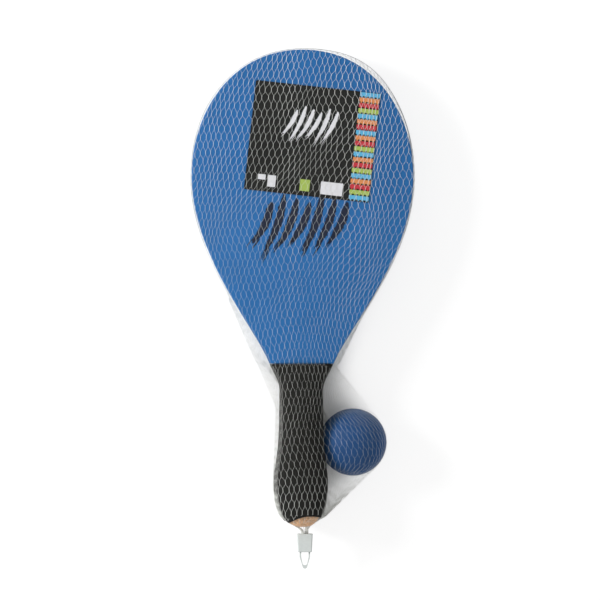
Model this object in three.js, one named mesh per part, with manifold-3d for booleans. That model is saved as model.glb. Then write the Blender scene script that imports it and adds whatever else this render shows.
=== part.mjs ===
// A frescobol set as it is sold: two wooden beach rackets lying handle on handle, a hollow rubber
// ball in the notch beside the handles and a card on the front blade, all held by a tube of
// extruded plastic netting. A box sleeve and the plug of a hanging loop clamp the net's tail.
//
// Millimetres. The set lies on its back: +X is across the blades, +Y runs from the handles to the
// blade tips and +Z points out of the front racket's face. The origin is on the flat underside of
// the net, below the widest line of the blades.
import * as THREE from "three";
import { mergeVertices } from "three/addons/utils/BufferGeometryUtils.js";
import Module from "manifold-3d";

const wasm = await Module();
wasm.setup();

// Blade: a flat board, egg shaped, with the tang of the handle in the same piece
const bladeWidth = 191;
const bladeCrown = 108.8; // from the widest line up to the tip
const bladeTaper = 162; // from the widest line down to the neck line, where the grip starts
const neckWidth = 53.4;
const boardThickness = 9;
const boardEdgeRound = 1.2;
const neckSlope = 0.44; // of the blade's edge where it meets the grip
const crownPull_shares = { side: 0.48, tip: 0.66 }; // how far the outline holds on before it turns
const taperPull_shares = { side: 0.425, neck: 0.212 };

// Handle: two wooden scales glued on the tang, under a foam sleeve
const handleLength = 140; // from the neck line to the butt
const handleThickness = 30; // over the sleeve
const waistWidth = 35.6;
const flareWidth = 43.6;
const flareDistance = 100; // from the neck line to the widest place of the handle
const rampLength = 18; // where the handle rises from the blade to its full thickness
const scaleLip = 1.2; // thickness of a scale at its thin end
const glueGap = 0.3;
const sleeveWall = 2.4;
const sleeveFit = 0.3; // between the wood and the sleeve, and at the sleeve's upper end
const hemDistance = 129.4; // from the neck line to the middle of the sleeve's lower hem
const hemAngle = THREE.MathUtils.degToRad(9.7);
const buttRound = 11; // rounding of the butt in side view
const neckRun_shares = { leave: 0.62, arrive: 0.8, end: 1.3 }; // of the ramp, along the neck's curve
const flareOnset = 2.6; // over 1, the waist keeps its width longer before it flares
const buttExponent = 2.6; // of the butt's outline, 2 is an ellipse and more is squarer
const sectionExponent = 2.05; // of the handle's cross section

// The pair
const handleGap = 0.3; // between the two sleeves
const backRacketTurn = THREE.MathUtils.degToRad(0.7); // about the centre of its blade

// Ball: two moulded rubber cups joined at the seam
const ballDiameter = 58;
const ballWall = 3.6;
const ballSeam = 0.3;
const ballFit = 0.3; // between the ball and the sleeves
const ballDistance = 229.6; // below the widest line of the blades

// Card under the net, on the front blade
const cardWidth = 108;
const cardHeight = 94.8;
const cardThickness = 0.5;
const cardStandoff = 0.3;
const cardCorner = 1.5;
const cardTurn = THREE.MathUtils.degToRad(-6.35);
const cardOffset = new THREE.Vector2(8.4, 29.2); // of its middle, from the widest line's middle

// Net
const netWall = 0.6;
const netFit = 0.5; // between the net and what it is drawn over
const netRimFit = 0.8; // more room at the edges of the blades
const netTopSlack = 3.2; // how far the net's closing seam stands off the blades' tips
const netFootWidth = 56; // flat strip that lies on the table
const netLiftOff = 70; // above the neck line, where the front of the net leaves the blade
const netColumns = 6;
const netRowPitch = 32;
const netRim_share = 0.05; // of the width, left whole along each edge
const netRib_share = 0.2; // of a cell's width, left as rib
const netCellShoulder_share = 0.42; // of a cell's half height, where its upright sides end
const netRibHeight = 3.4; // of the rib between two rows of cells
const crownRound_shares = { across: 0.62, deep: 0.3 }; // of the net's last ring, at its seam
const edgeCellHeight = 26; // of the cells in the edge band, across the pair
const edgeCellWidth = 20; // of the cells beside the seam, along it
const edgeCellReach = 24; // of the cutters, out from the blades' edge
const edgeCellDepth = 5; // of the cutters, in from the blades' edge
const seamRib = 3; // left whole where the net is closed over the tips
const seamStart = 46; // along the blades' edge, from their widest line
const neckBundleWidth = 6.2;
const neckBundleDepth = 3.6;
const neckMouthWidth = 9.3; // of the gathered net just under the butts
const neckMouthDepth = 5.4;
const neckRing_shares = [0.4, 0.7]; // of the neck, where it is drawn in and where it is at its least
const neckLength = 6.6; // from the butt to the clip
const neckOffset = 4.3; // of the neck where it leaves the butt, from the handle's middle
const tailLength = 7; // of the net's tail inside the clip
const neckEntry_share = 0.15; // of the clip's free length, where the tail has its full size

// Where the drawn net leaves the blades and what it spans, seen from the front
const leftSpanStart = new THREE.Vector2(-64, -104);
const leftSpanEnd = new THREE.Vector2(-22.8, -199.5);
const leftButtReach = new THREE.Vector2(-26.2, -272);
const rightSpanStart = new THREE.Vector2(85.6, -48.2);
const rightNeckReach = new THREE.Vector2(29.7, -165);
const rightButtReach = new THREE.Vector2(17.5, -296);

// Clip: a box sleeve and a plug with the hanging loop
const clipWidth = 13.6;
const clipFootWidth = 12; // the sleeve is a little narrower at its lower end
const clipLength = 15.8;
const clipDepth = 7.4;
const clipWall = 1.15;
const clipCorner = 1;
const clipOffset = 2.1; // of the clip's middle, from the handle's middle
const plugFit = 0.3;
const plugInsert = 7.8; // of the plug's tongue inside the sleeve
const loopLength = 14.3;
const loopWire = 1.4;
const loopTipWidth = 4.2;
const loopTipLength = 3;
const loopShoulder_share = 0.3; // of the loop, where its sides start to close in

// Facets
const ringSides = 16;
const netSides = 16;
const netCrownSteps = 7;
const netTaperSteps = 5;
const crownSteps = 9;
const taperSteps = 8;
const ballSides = 24;
const ballSteps = 5;
const ballInnerSteps = 3;
const loopFacets = 6;
const rampSteps = 3;
const waistSteps = 4;
const buttSteps = 6;
const reachSteps = 24;
const curveHalvings = 30;
const mergeWithin = 1e-4;
const lastStep_share = 0.955; // of a quarter turn, where a round end is cut flat
const netBallSteps = 3; // sections over the ball on each side of its middle
const cutOverrun = 1;

// Derived sizes
const bladeHalf = bladeWidth / 2;
const sleeveCover = sleeveWall + sleeveFit;
const coreHalfThickness = handleThickness / 2 - sleeveCover;
const pairHalfPitch = (handleThickness + handleGap) / 2; // from the pair's middle to a board's middle
const ballRadius = ballDiameter / 2;
const fullDistance = bladeTaper + rampLength; // where the handle has its full thickness
const tilt = Math.atan((handleThickness - boardThickness) / 2 / (bladeCrown + fullDistance));
const footHeight = netWall + netFit; // of the rackets' lowest points over the table
const pairHeight = footHeight + bladeCrown * Math.sin(tilt)
  + (pairHalfPitch + boardThickness / 2) * Math.cos(tilt);
const buttPlace = -(bladeTaper + handleLength);

// Curves: half widths as X over places along the racket as Y
const smoothStep = (x) => x * x * (3 - 2 * x);

function curveWidth(curve, place) {
  let low = 0;
  let high = 1;
  for (let i = 0; i < curveHalvings; i++) {
    const middle = (low + high) / 2;
    if (Math.abs(curve.getPoint(middle).y) < Math.abs(place)) low = middle;
    else high = middle;
  }
  return curve.getPoint(low).x;
}

// From the neck line the blade's taper runs on into the waist of the handle
const neckEnd = rampLength * neckRun_shares.end;
const neckCurve = new THREE.CubicBezierCurve(
  new THREE.Vector2(neckWidth / 2, 0),
  new THREE.Vector2((neckWidth + waistWidth) / 4, rampLength * neckRun_shares.leave),
  new THREE.Vector2(waistWidth / 2, rampLength * neckRun_shares.arrive),
  new THREE.Vector2(waistWidth / 2, neckEnd),
);

// Half width of the sleeve at a distance below the neck line
function sleeveHalfWidth(distance) {
  if (distance <= neckEnd) return curveWidth(neckCurve, distance);
  if (distance <= flareDistance) {
    const along = (distance - neckEnd) / (flareDistance - neckEnd);
    const rise = smoothStep(Math.pow(along, flareOnset));
    return THREE.MathUtils.lerp(waistWidth / 2, flareWidth / 2, rise);
  }
  return (flareWidth / 2) * buttShare(distance);
}

// Share of the flare's width that is left on the way to the butt
function buttShare(distance) {
  const along = Math.max(0, (distance - flareDistance) / (handleLength - flareDistance));
  return Math.pow(Math.max(0, 1 - Math.pow(along, buttExponent)), 1 / buttExponent);
}

function coreHalfWidth(distance) {
  if (distance <= flareDistance) return sleeveHalfWidth(distance) - sleeveCover;
  return (flareWidth / 2 - sleeveCover) * buttShare(distance);
}

function coreHalfDepth(distance) {
  const lip = boardThickness / 2 + glueGap + scaleLip;
  const rise = smoothStep(Math.min(1, Math.max(0, distance / rampLength)));
  const past = Math.max(0, (distance - handleLength + buttRound) / buttRound);
  return THREE.MathUtils.lerp(lip, coreHalfThickness, rise) * Math.sqrt(Math.max(0, 1 - past * past));
}

// Distances below the neck line at which the handle's sections stand
function handleStations() {
  const stations = [0];
  for (let i = 1; i <= rampSteps; i++) stations.push((rampLength * i) / rampSteps);
  stations.push(neckEnd);
  for (let i = 1; i <= waistSteps; i++) {
    stations.push(THREE.MathUtils.lerp(neckEnd, flareDistance, i / waistSteps));
  }
  for (let i = 1; i <= buttSteps; i++) {
    const turn = (Math.PI / 2) * lastStep_share * (i / buttSteps);
    stations.push(flareDistance + (handleLength - flareDistance) * Math.sin(turn));
  }
  return stations;
}

// A superellipse ring at one place along Y
function superRing(halfWidth, halfDepth, y, sides = ringSides, exponent = sectionExponent) {
  const points = [];
  for (let i = 0; i < sides; i++) {
    const turn = (2 * Math.PI * i) / sides;
    const c = Math.cos(turn);
    const s = Math.sin(turn);
    points.push(new THREE.Vector3(
      halfWidth * Math.sign(c) * Math.pow(Math.abs(c), 2 / exponent),
      y,
      halfDepth * Math.sign(s) * Math.pow(Math.abs(s), 2 / exponent),
    ));
  }
  return points;
}

// A closed body through rings of equally many points, with a fan over each end
function loft(rings) {
  const sides = rings[0].length;
  const positions = rings.flat().flatMap((p) => [p.x, p.y, p.z]);
  const indices = [];
  for (let r = 0; r + 1 < rings.length; r++) {
    for (let i = 0; i < sides; i++) {
      const a = r * sides + i;
      const b = r * sides + ((i + 1) % sides);
      indices.push(a, b, a + sides, b, b + sides, a + sides);
    }
  }
  const last = rings.length - 1;
  for (const [ring, start, flip] of [[rings[0], 0, true], [rings[last], last * sides, false]]) {
    const middle = ring.reduce((sum, p) => sum.add(p), new THREE.Vector3()).divideScalar(sides);
    const centre = positions.length / 3;
    positions.push(middle.x, middle.y, middle.z);
    for (let i = 0; i < sides; i++) {
      const a = start + i;
      const b = start + ((i + 1) % sides);
      indices.push(...(flip ? [centre, b, a] : [centre, a, b]));
    }
  }
  const geometry = new THREE.BufferGeometry();
  geometry.setAttribute("position", new THREE.Float32BufferAttribute(positions, 3));
  geometry.setIndex(indices);
  return geometry;
}

// A geometry as a solid that can be joined and cut, facing out whichever way it was wound
function solid(geometry) {
  const bare = geometry.clone();
  bare.deleteAttribute("normal");
  bare.deleteAttribute("uv");
  const merged = mergeVertices(bare, mergeWithin);
  const triVerts = new Uint32Array(merged.index.array);
  const vertProperties = new Float32Array(merged.attributes.position.array);
  const made = new wasm.Manifold(new wasm.Mesh({ numProp: 3, vertProperties, triVerts }));
  if (made.volume() > 0) return made;
  for (let i = 0; i < triVerts.length; i += 3) {
    [triVerts[i + 1], triVerts[i + 2]] = [triVerts[i + 2], triVerts[i + 1]];
  }
  return new wasm.Manifold(new wasm.Mesh({ numProp: 3, vertProperties, triVerts }));
}

function geometryOf(manifold) {
  const mesh = manifold.getMesh();
  const positions = [];
  for (let i = 0; i < mesh.vertProperties.length; i += mesh.numProp) {
    positions.push(...mesh.vertProperties.subarray(i, i + 3));
  }
  const geometry = new THREE.BufferGeometry();
  geometry.setAttribute("position", new THREE.Float32BufferAttribute(positions, 3));
  geometry.setIndex(Array.from(mesh.triVerts));
  geometry.computeVertexNormals();
  return geometry;
}

// A box between two corners
function block(low, high) {
  const size = new THREE.Vector3().subVectors(high, low);
  const box = new THREE.BoxGeometry(size.x, size.y, size.z);
  box.translate((low.x + high.x) / 2, (low.y + high.y) / 2, (low.z + high.z) / 2);
  return solid(box);
}

// Half width of the blade at a height over its widest line, from the same curves as its outline
const crownCurve = new THREE.CubicBezierCurve(
  new THREE.Vector2(bladeHalf, 0),
  new THREE.Vector2(bladeHalf, bladeCrown * crownPull_shares.side),
  new THREE.Vector2(bladeHalf * crownPull_shares.tip, bladeCrown),
  new THREE.Vector2(0, bladeCrown),
);
const taperReach = bladeTaper * taperPull_shares.neck;
const taperCurve = new THREE.CubicBezierCurve(
  new THREE.Vector2(bladeHalf, 0),
  new THREE.Vector2(bladeHalf, -bladeTaper * taperPull_shares.side),
  new THREE.Vector2(neckWidth / 2 + neckSlope * taperReach, taperReach - bladeTaper),
  new THREE.Vector2(neckWidth / 2, -bladeTaper),
);

const bladeHalfWidth = (y) => curveWidth(y > 0 ? crownCurve : taperCurve, y);

const wood = { color: 0xc89a6c, roughness: 0.75, metalness: 0 };
const bluePaint = { color: 0x2f6bae, roughness: 0.45, metalness: 0 };
const blackFoam = { color: 0x17181a, roughness: 0.95, metalness: 0 };
const blueRubber = { color: 0x2a5590, roughness: 0.7, metalness: 0 };
const blackCard = { color: 0x111315, roughness: 0.5, metalness: 0 };
const clearNet = { color: 0xe8ebea, roughness: 0.4, metalness: 0, transparent: true, opacity: 0.75 };
const greyPlastic = { color: 0xcfd4d1, roughness: 0.45, metalness: 0 };

function piece(name, manifold, look) {
  const mesh = new THREE.Mesh(geometryOf(manifold), new THREE.MeshStandardMaterial(look));
  mesh.name = name;
  return mesh;
}

// Racket
// Its frame has the blade's widest line on Y = 0 and the board's middle on Z = 0.
function handleRings(widthAt, depthAt, stations) {
  return stations.map((s) => superRing(widthAt(s), depthAt(s), -bladeTaper - s));
}

function handleCore() {
  const stations = handleStations();
  stations[0] = -boardEdgeRound * 2;
  return solid(loft(handleRings(
    (s) => coreHalfWidth(Math.max(0, s)),
    (s) => coreHalfDepth(Math.max(0, s)),
    stations,
  )));
}

function bladePlate() {
  const shape = new THREE.Shape();
  const crown = crownCurve.getPoints(crownSteps);
  const taper = taperCurve.getPoints(taperSteps);
  const right = [...taper.slice(1).reverse(), ...crown];
  const left = right.slice(0, -1).reverse().map((p) => new THREE.Vector2(-p.x, p.y));
  shape.setFromPoints([...right, ...left]);
  const geometry = new THREE.ExtrudeGeometry(shape, {
    depth: boardThickness - 2 * boardEdgeRound,
    bevelThickness: boardEdgeRound,
    bevelSize: boardEdgeRound,
    bevelOffset: -boardEdgeRound,
    bevelSegments: 2,
    steps: 1,
  });
  geometry.translate(0, 0, -boardThickness / 2 + boardEdgeRound);
  return solid(geometry);
}

function slab(lowZ, highZ, highY) {
  return block(
    new THREE.Vector3(-bladeHalf, buttPlace - cutOverrun, lowZ),
    new THREE.Vector3(bladeHalf, highY, highZ),
  );
}

function sleeve() {
  const stations = handleStations();
  const outer = loft(handleRings(
    sleeveHalfWidth,
    (s) => coreHalfDepth(s) + sleeveCover,
    stations,
  ));
  stations[0] = -cutOverrun;
  const bore = loft(handleRings(
    (s) => coreHalfWidth(Math.max(0, s)) + sleeveFit,
    (s) => coreHalfDepth(Math.max(0, s)) + sleeveFit,
    stations,
  ));
  const top = block(
    new THREE.Vector3(-bladeHalf, -bladeTaper - sleeveFit, -handleThickness),
    new THREE.Vector3(bladeHalf, bladeTaper, handleThickness),
  );
  const below = new THREE.BoxGeometry(bladeWidth, handleLength, 2 * handleThickness);
  below.translate(0, -handleLength / 2, 0);
  below.rotateZ(hemAngle);
  below.translate(0, -bladeTaper - hemDistance, 0);
  return solid(outer).subtract(solid(bore)).subtract(top).subtract(solid(below));
}

function racket(prefix) {
  const group = new THREE.Group();
  const core = handleCore();
  const faceZ = boardThickness / 2;
  const scaleTop = -bladeTaper - sleeveFit;
  const tang = core.intersect(slab(-faceZ, faceZ, -bladeTaper + 2 * boardEdgeRound));
  const board = bladePlate().add(tang);
  const frontScale = core.intersect(slab(faceZ + glueGap, handleThickness, scaleTop));
  const backScale = core.intersect(slab(-handleThickness, -faceZ - glueGap, scaleTop));
  group.add(piece(`${prefix}_board`, board, bluePaint));
  group.add(piece(`${prefix}_face_scale`, frontScale, wood));
  group.add(piece(`${prefix}_rear_scale`, backScale, wood));
  group.add(piece(`${prefix}_grip_sleeve`, sleeve(), blackFoam));
  return group;
}

// Outline of one racket's section across the pair, as points in X and Z of the pair's frame
function racketSection(y, side) {
  const turn = side < 0 ? backRacketTurn : 0;
  const shift = y * Math.sin(turn);
  const middle = side * pairHalfPitch;
  if (y > bladeCrown || y < buttPlace) return [];
  if (y >= -bladeTaper) {
    const half = bladeHalfWidth(y);
    const deep = boardThickness / 2;
    return [[-1, -1], [1, -1], [1, 1], [-1, 1]].map(([a, b]) => [shift + a * half, middle + b * deep]);
  }
  const distance = -bladeTaper - y;
  const ring = superRing(sleeveHalfWidth(distance), coreHalfDepth(distance) + sleeveCover, y);
  return ring.map((p) => [shift + p.x, middle + p.z]);
}

// The ball rests on the net's underside and touches both sleeves
const ballY = -ballDistance;
const ballZ = (footHeight + ballRadius - pairHeight + ballY * Math.sin(tilt)) / Math.cos(tilt);

function ballReach() {
  const touch = ballRadius + ballFit;
  let reach = 0;
  for (let i = 0; i <= reachSteps; i++) {
    const y = ballY + touch * ((2 * i) / reachSteps - 1);
    for (const side of [1, -1]) {
      for (const [x, z] of racketSection(y, side)) {
        const rest = touch * touch - (y - ballY) ** 2 - (z - ballZ) ** 2;
        if (rest > 0) reach = Math.max(reach, x + Math.sqrt(rest));
      }
    }
  }
  return reach;
}
const ballX = ballReach();

function ballCup(side) {
  const outer = ballRadius;
  const inner = ballRadius - ballWall;
  const seam = ballSeam / 2;
  const points = [];
  const outerStart = Math.asin(seam / outer);
  const innerStart = Math.asin(seam / inner);
  for (let i = 0; i <= ballInnerSteps; i++) {
    const turn = THREE.MathUtils.lerp(innerStart, Math.PI / 2, 1 - i / ballInnerSteps);
    points.push(new THREE.Vector2(inner * Math.cos(turn), inner * Math.sin(turn)));
  }
  for (let i = 0; i <= ballSteps; i++) {
    const turn = THREE.MathUtils.lerp(outerStart, Math.PI / 2, i / ballSteps);
    points.push(new THREE.Vector2(outer * Math.cos(turn), outer * Math.sin(turn)));
  }
  points[0].x = 0;
  points.at(-1).x = 0;
  const cup = new THREE.LatheGeometry(points, ballSides);
  cup.rotateX(Math.PI / 2);
  if (side < 0) cup.rotateX(Math.PI);
  cup.translate(ballX, ballY, ballZ);
  return solid(cup);
}

function card() {
  const shape = new THREE.Shape();
  const x = cardWidth / 2;
  const y = cardHeight / 2;
  const r = cardCorner;
  shape.moveTo(-x + r, -y).lineTo(x - r, -y).quadraticCurveTo(x, -y, x, -y + r);
  shape.lineTo(x, y - r).quadraticCurveTo(x, y, x - r, y);
  shape.lineTo(-x + r, y).quadraticCurveTo(-x, y, -x, y - r);
  shape.lineTo(-x, -y + r).quadraticCurveTo(-x, -y, -x + r, -y);
  const geometry = new THREE.ExtrudeGeometry(shape, {
    depth: cardThickness,
    bevelEnabled: false,
    curveSegments: 3,
  });
  geometry.rotateZ(cardTurn);
  geometry.translate(cardOffset.x, cardOffset.y, pairHalfPitch + boardThickness / 2 + cardStandoff);
  return solid(geometry);
}

// Net
// At each place along Y the drawn net is the convex section round all that it holds there.
const cardTop = cardStandoff + cardThickness;

// How far the net's flat facets stand off the round ball
const ballChord = ballRadius * (1 / Math.cos((Math.PI / 4) * (lastStep_share / netBallSteps)) - 1);

// Height of the table, seen in the tilted frame of the pair
const tableZ = (y) => (-pairHeight + y * Math.sin(tilt)) / Math.cos(tilt);

// Where a line from a point touches a circle on its right-hand side
function tangentPoint(point, centre, radius) {
  const away = new THREE.Vector2().subVectors(point, centre);
  const spread = Math.acos(radius / away.length());
  return [spread, -spread]
    .map((turn) => away.angle() + turn)
    .map((turn) => new THREE.Vector2(centre.x + radius * Math.cos(turn), centre.y + radius * Math.sin(turn)))
    .reduce((best, next) => (next.x > best.x ? next : best));
}

// Creases of the flattened net beside the handles: X at a place along Y, or nothing there
const ballCentre = new THREE.Vector2(ballX, ballY);
const upperTouch = tangentPoint(rightNeckReach, ballCentre, ballRadius + netFit);
const lowerTouch = tangentPoint(rightButtReach, ballCentre, ballRadius + netFit);

function creaseLines() {
  return [
    [leftSpanStart, leftSpanEnd, 0, 0],
    [leftSpanEnd, leftButtReach, 0, 0],
    [rightSpanStart, rightNeckReach, 0, 0],
    [rightNeckReach, upperTouch, 0, ballZ],
    [rightButtReach, lowerTouch, 0, ballZ],
  ];
}

function contentsAt(y) {
  const points = [...racketSection(y, 1), ...racketSection(y, -1)];
  for (const [from, to, fromZ, toZ] of creaseLines()) {
    const along = (y - from.y) / (to.y - from.y);
    if (along >= 0 && along <= 1) {
      points.push([THREE.MathUtils.lerp(from.x, to.x, along), THREE.MathUtils.lerp(fromZ, toZ, along)]);
    }
  }
  if (y > 0) {
    const seamHalf = bladeHalfWidth((y * bladeCrown) / (bladeCrown + netTopSlack));
    points.push([seamHalf, 0], [-seamHalf, 0]);
  }
  const faceZ = pairHalfPitch + boardThickness / 2;
  const bridgeStart = -bladeTaper + netLiftOff;
  if (y < bridgeStart && y > -fullDistance) {
    const along = (y - bridgeStart) / (-fullDistance - bridgeStart);
    const height = THREE.MathUtils.lerp(faceZ, pairHalfPitch + handleThickness / 2, along);
    const half = THREE.MathUtils.lerp(neckWidth, waistWidth / 2, along) / 2;
    points.push([half, height], [-half, height]);
  }
  return points;
}

function sectionSupport(y, turn, grown) {
  const c = Math.cos(turn);
  const s = Math.sin(turn);
  const onBlade = y > -bladeTaper;
  const side = onBlade ? netRimFit * Math.abs(c) : 0;
  const face = onBlade ? cardTop * Math.max(0, s) : 0;
  let reach = -Infinity;
  for (const [x, z] of contentsAt(y)) reach = Math.max(reach, x * c + z * s + grown + side + face);
  const across = Math.sqrt(Math.max(0, ballRadius ** 2 - (y - ballY) ** 2));
  if (across > 0) reach = Math.max(reach, ballX * c + ballZ * s + across + grown + ballChord);
  if (y > -fullDistance) {
    const foot = tableZ(y) + footHeight - grown;
    reach = Math.max(reach, (Math.abs(c) * netFootWidth) / 2 + foot * s);
  }
  return reach;
}

// Corners of the section: each is where two neighbouring support lines meet
function netRing(y, grown, place = y) {
  const step = (2 * Math.PI) / netSides;
  const ring = [];
  for (let i = 0; i < netSides; i++) {
    const turn = i * step;
    const next = turn + step;
    const a = sectionSupport(y, turn, grown);
    const b = sectionSupport(y, next, grown);
    const x = (a * Math.sin(next) - b * Math.sin(turn)) / Math.sin(step);
    const z = (b * Math.cos(turn) - a * Math.cos(next)) / Math.sin(step);
    ring.push(new THREE.Vector3(x, place, Math.max(z, tableZ(place) + footHeight - grown)));
  }
  return ring;
}

// Every second section of the handle down to its widest place, and all of them from there
function netHandleStations() {
  return handleStations().filter((s, i) => s > flareDistance || i % 2 === 0);
}

function netStations() {
  const stations = [];
  for (let i = netCrownSteps; i > 0; i--) {
    stations.push(bladeCrown * Math.sin((Math.PI / 2) * lastStep_share * (i / netCrownSteps)));
  }
  for (let i = 0; i < netTaperSteps; i++) stations.push((-bladeTaper * i) / netTaperSteps);
  for (const s of netHandleStations()) stations.push(-bladeTaper - s);
  for (let i = -netBallSteps; i <= netBallSteps; i++) {
    stations.push(ballY + ballRadius * Math.sin((Math.PI / 2) * lastStep_share * (i / netBallSteps)));
  }
  return stations.sort((a, b) => b - a);
}

// The net's skin, grown by so much over what it holds: its rings from the closed end to the butts
function netSkin(grown) {
  const rings = netStations().map((y) => netRing(y, grown));
  const crownPlace = bladeCrown + netTopSlack + grown - netFit;
  const crown = rings[0].map((p) => new THREE.Vector3(
    p.x * crownRound_shares.across,
    crownPlace,
    p.z * crownRound_shares.deep,
  ));
  const last = -bladeTaper - handleStations().at(-1);
  return [crown, ...rings, netRing(last, grown, buttPlace - grown)];
}

function tailRing(y, x, width, depth) {
  const ring = superRing(width / 2, depth / 2, y, netSides, 2);
  return ring.map((p) => new THREE.Vector3(p.x + x, y, p.z));
}

// Where the net is drawn together under the butts, and the tail that the clip holds
function netTail() {
  const neckEnd = buttPlace - neckLength;
  const boreWidth = clipFootWidth - 2 * clipWall - 2 * plugFit;
  const boreDepth = clipDepth - 2 * clipWall - 2 * plugFit;
  const inside = neckEnd - (clipLength - tailLength) * neckEntry_share;
  return [
    tailRing(buttPlace - neckLength * neckRing_shares[0], neckOffset, neckMouthWidth, neckMouthDepth),
    tailRing(buttPlace - neckLength * neckRing_shares[1], neckOffset, neckBundleWidth, neckBundleDepth),
    tailRing(neckEnd, clipOffset, neckBundleWidth, neckBundleDepth),
    tailRing(inside, clipOffset, boreWidth, boreDepth),
    tailRing(neckEnd - tailLength, clipOffset, boreWidth, boreDepth),
  ];
}

// A six-sided prism through the front and the back of the net, from its corners in X and Y
function facePrism(corners) {
  const ring = (z) => corners.map(([x, y]) => new THREE.Vector3(x, y, z));
  return solid(loft([ring(-handleThickness * 2), ring(handleThickness * 2)]));
}

// A six-sided prism out through the net's edge band, from its corners along the edge and in Z
function edgePrism(corners, middle, outward) {
  const ring = (depth) => corners.map(([along, z]) => new THREE.Vector3(
    middle.x + outward.x * depth - outward.y * along,
    middle.y + outward.y * depth + outward.x * along,
    z,
  ));
  return solid(loft([ring(-edgeCellDepth), ring(edgeCellReach)]));
}

// Corners of a net cell about a place, as shares of its half width and half height
const cellCorner_shares = [
  [0, 1], [1, netCellShoulder_share], [1, -netCellShoulder_share],
  [0, -1], [-1, -netCellShoulder_share], [-1, netCellShoulder_share],
];

const cellHalfHeight = (netRowPitch - netRibHeight) / (1 + netCellShoulder_share);
const edgeCellHalf = (netRowPitch - netRibHeight) / 2; // along the edge, where one row stands alone
const firstRow = bladeCrown - cellHalfHeight; // place of the uppermost row of cells
const netRows = Math.floor((firstRow - cellHalfHeight - buttPlace) / netRowPitch) + 1;
const cellColumn_share = (1 - 2 * netRim_share) / netColumns;
const cellHalfWidth_share = (cellColumn_share * (1 - netRib_share)) / 2;

// X at a share of the net's width, at a place along Y
function acrossAt(share, y) {
  const left = -sectionSupport(y, Math.PI, netFit);
  const right = sectionSupport(y, 0, netFit);
  return THREE.MathUtils.lerp(left, right, share);
}

function faceCells() {
  const cells = [];
  for (let row = 0; row < netRows; row++) {
    const shifted = 1 - (row % 2);
    for (let column = 0; column < netColumns - shifted; column++) {
      const share = netRim_share + cellColumn_share * (column + (1 + shifted) / 2);
      cells.push(facePrism(cellCorner_shares.map(([a, b]) => {
        const place = firstRow - row * netRowPitch + b * cellHalfHeight;
        return [acrossAt(share + a * cellHalfWidth_share, place), place];
      })));
    }
  }
  return cells;
}

// Cells in the edge band round the blades: one row below the seam's ends, and two beside the seam
function bladeEdgeCells() {
  const cells = [];
  const halfHeight = edgeCellHeight / 2;
  for (const curve of [crownCurve, taperCurve]) {
    const length = curve.getLength();
    const count = Math.round(length / netRowPitch);
    const onCrown = curve === crownCurve;
    for (let i = onCrown ? 0 : 1; i <= (onCrown ? count : count - 2); i++) {
      const middle = curve.getPointAt(i / count);
      const ahead = curve.getTangentAt(i / count);
      const outward = new THREE.Vector2(ahead.y, -ahead.x).multiplyScalar(onCrown ? 1 : -1);
      const besideSeam = onCrown && (i * length) / count > seamStart;
      const corners = besideSeam
        ? cellCorner_shares.map(([a, b]) => [
          (a * edgeCellWidth) / 2,
          seamRib / 2 + ((1 + b) * (halfHeight - seamRib / 2)) / 2,
        ])
        : cellCorner_shares.map(([a, b]) => [b * edgeCellHalf, a * halfHeight]);
      const sides = i === count ? [1] : [1, -1];
      for (const side of sides) {
        const place = new THREE.Vector2(middle.x * side, middle.y);
        const away = new THREE.Vector2(outward.x * side, outward.y);
        cells.push(edgePrism(corners, place, away));
        if (besideSeam) cells.push(edgePrism(corners.map(([along, z]) => [along, -z]), place, away));
      }
    }
  }
  return cells;
}

// Half height in Z that a cell may take in the side of the net beside the handles
function sideRoom(y, side, middleZ) {
  const ring = netRing(y, netFit);
  const x = acrossAt(side < 0 ? netRim_share : 1 - netRim_share, y);
  let room = edgeCellHeight / 2;
  ring.forEach((a, i) => {
    const b = ring[(i + 1) % ring.length];
    if ((a.x - x) * (b.x - x) >= 0) return;
    const z = THREE.MathUtils.lerp(a.z, b.z, (x - a.x) / (b.x - a.x));
    room = Math.min(room, Math.abs(z - middleZ) - netRibHeight);
  });
  return room;
}

// Cells in the sides of the net beside the handles, left of them and round the ball
function handleEdgeCells() {
  const cells = [];
  for (let row = 0; row < netRows; row++) {
    const y = firstRow - row * netRowPitch;
    if (y + edgeCellHalf > -bladeTaper) continue;
    for (const [side, middleZ] of [[-1, 0], [1, ballZ]]) {
      const rooms = cellCorner_shares.map(([, b]) => sideRoom(y + b * edgeCellHalf, side, middleZ));
      if (Math.min(...rooms) < netRibHeight) continue;
      const middle = new THREE.Vector2(acrossAt(side < 0 ? 0 : 1, y), y);
      const corners = cellCorner_shares.map(([a, b], i) => [b * edgeCellHalf, middleZ + a * rooms[i]]);
      cells.push(edgePrism(corners, middle, new THREE.Vector2(side, 0)));
    }
  }
  return cells;
}

function net() {
  let made = solid(loft([...netSkin(netFit + netWall), ...netTail()]));
  made = made.subtract(solid(loft(netSkin(netFit))));
  const cells = [...faceCells(), ...bladeEdgeCells(), ...handleEdgeCells()];
  for (const cell of cells) made = made.subtract(cell);
  return made;
}

// Clip
const clipTop = buttPlace - neckLength;
const clipFoot = clipTop - clipLength;

// A rounded rectangle ring with three points at each corner
function boxRing(width, depth, corner, y) {
  const points = [];
  for (const [sx, sz, start] of [[1, 1, 0], [-1, 1, 1], [-1, -1, 2], [1, -1, 3]]) {
    for (let i = 0; i <= 2; i++) {
      const turn = (Math.PI / 2) * (start + i / 2);
      points.push(new THREE.Vector3(
        clipOffset + sx * (width / 2 - corner) + corner * Math.cos(turn),
        y,
        sz * (depth / 2 - corner) + corner * Math.sin(turn),
      ));
    }
  }
  return points;
}

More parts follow.
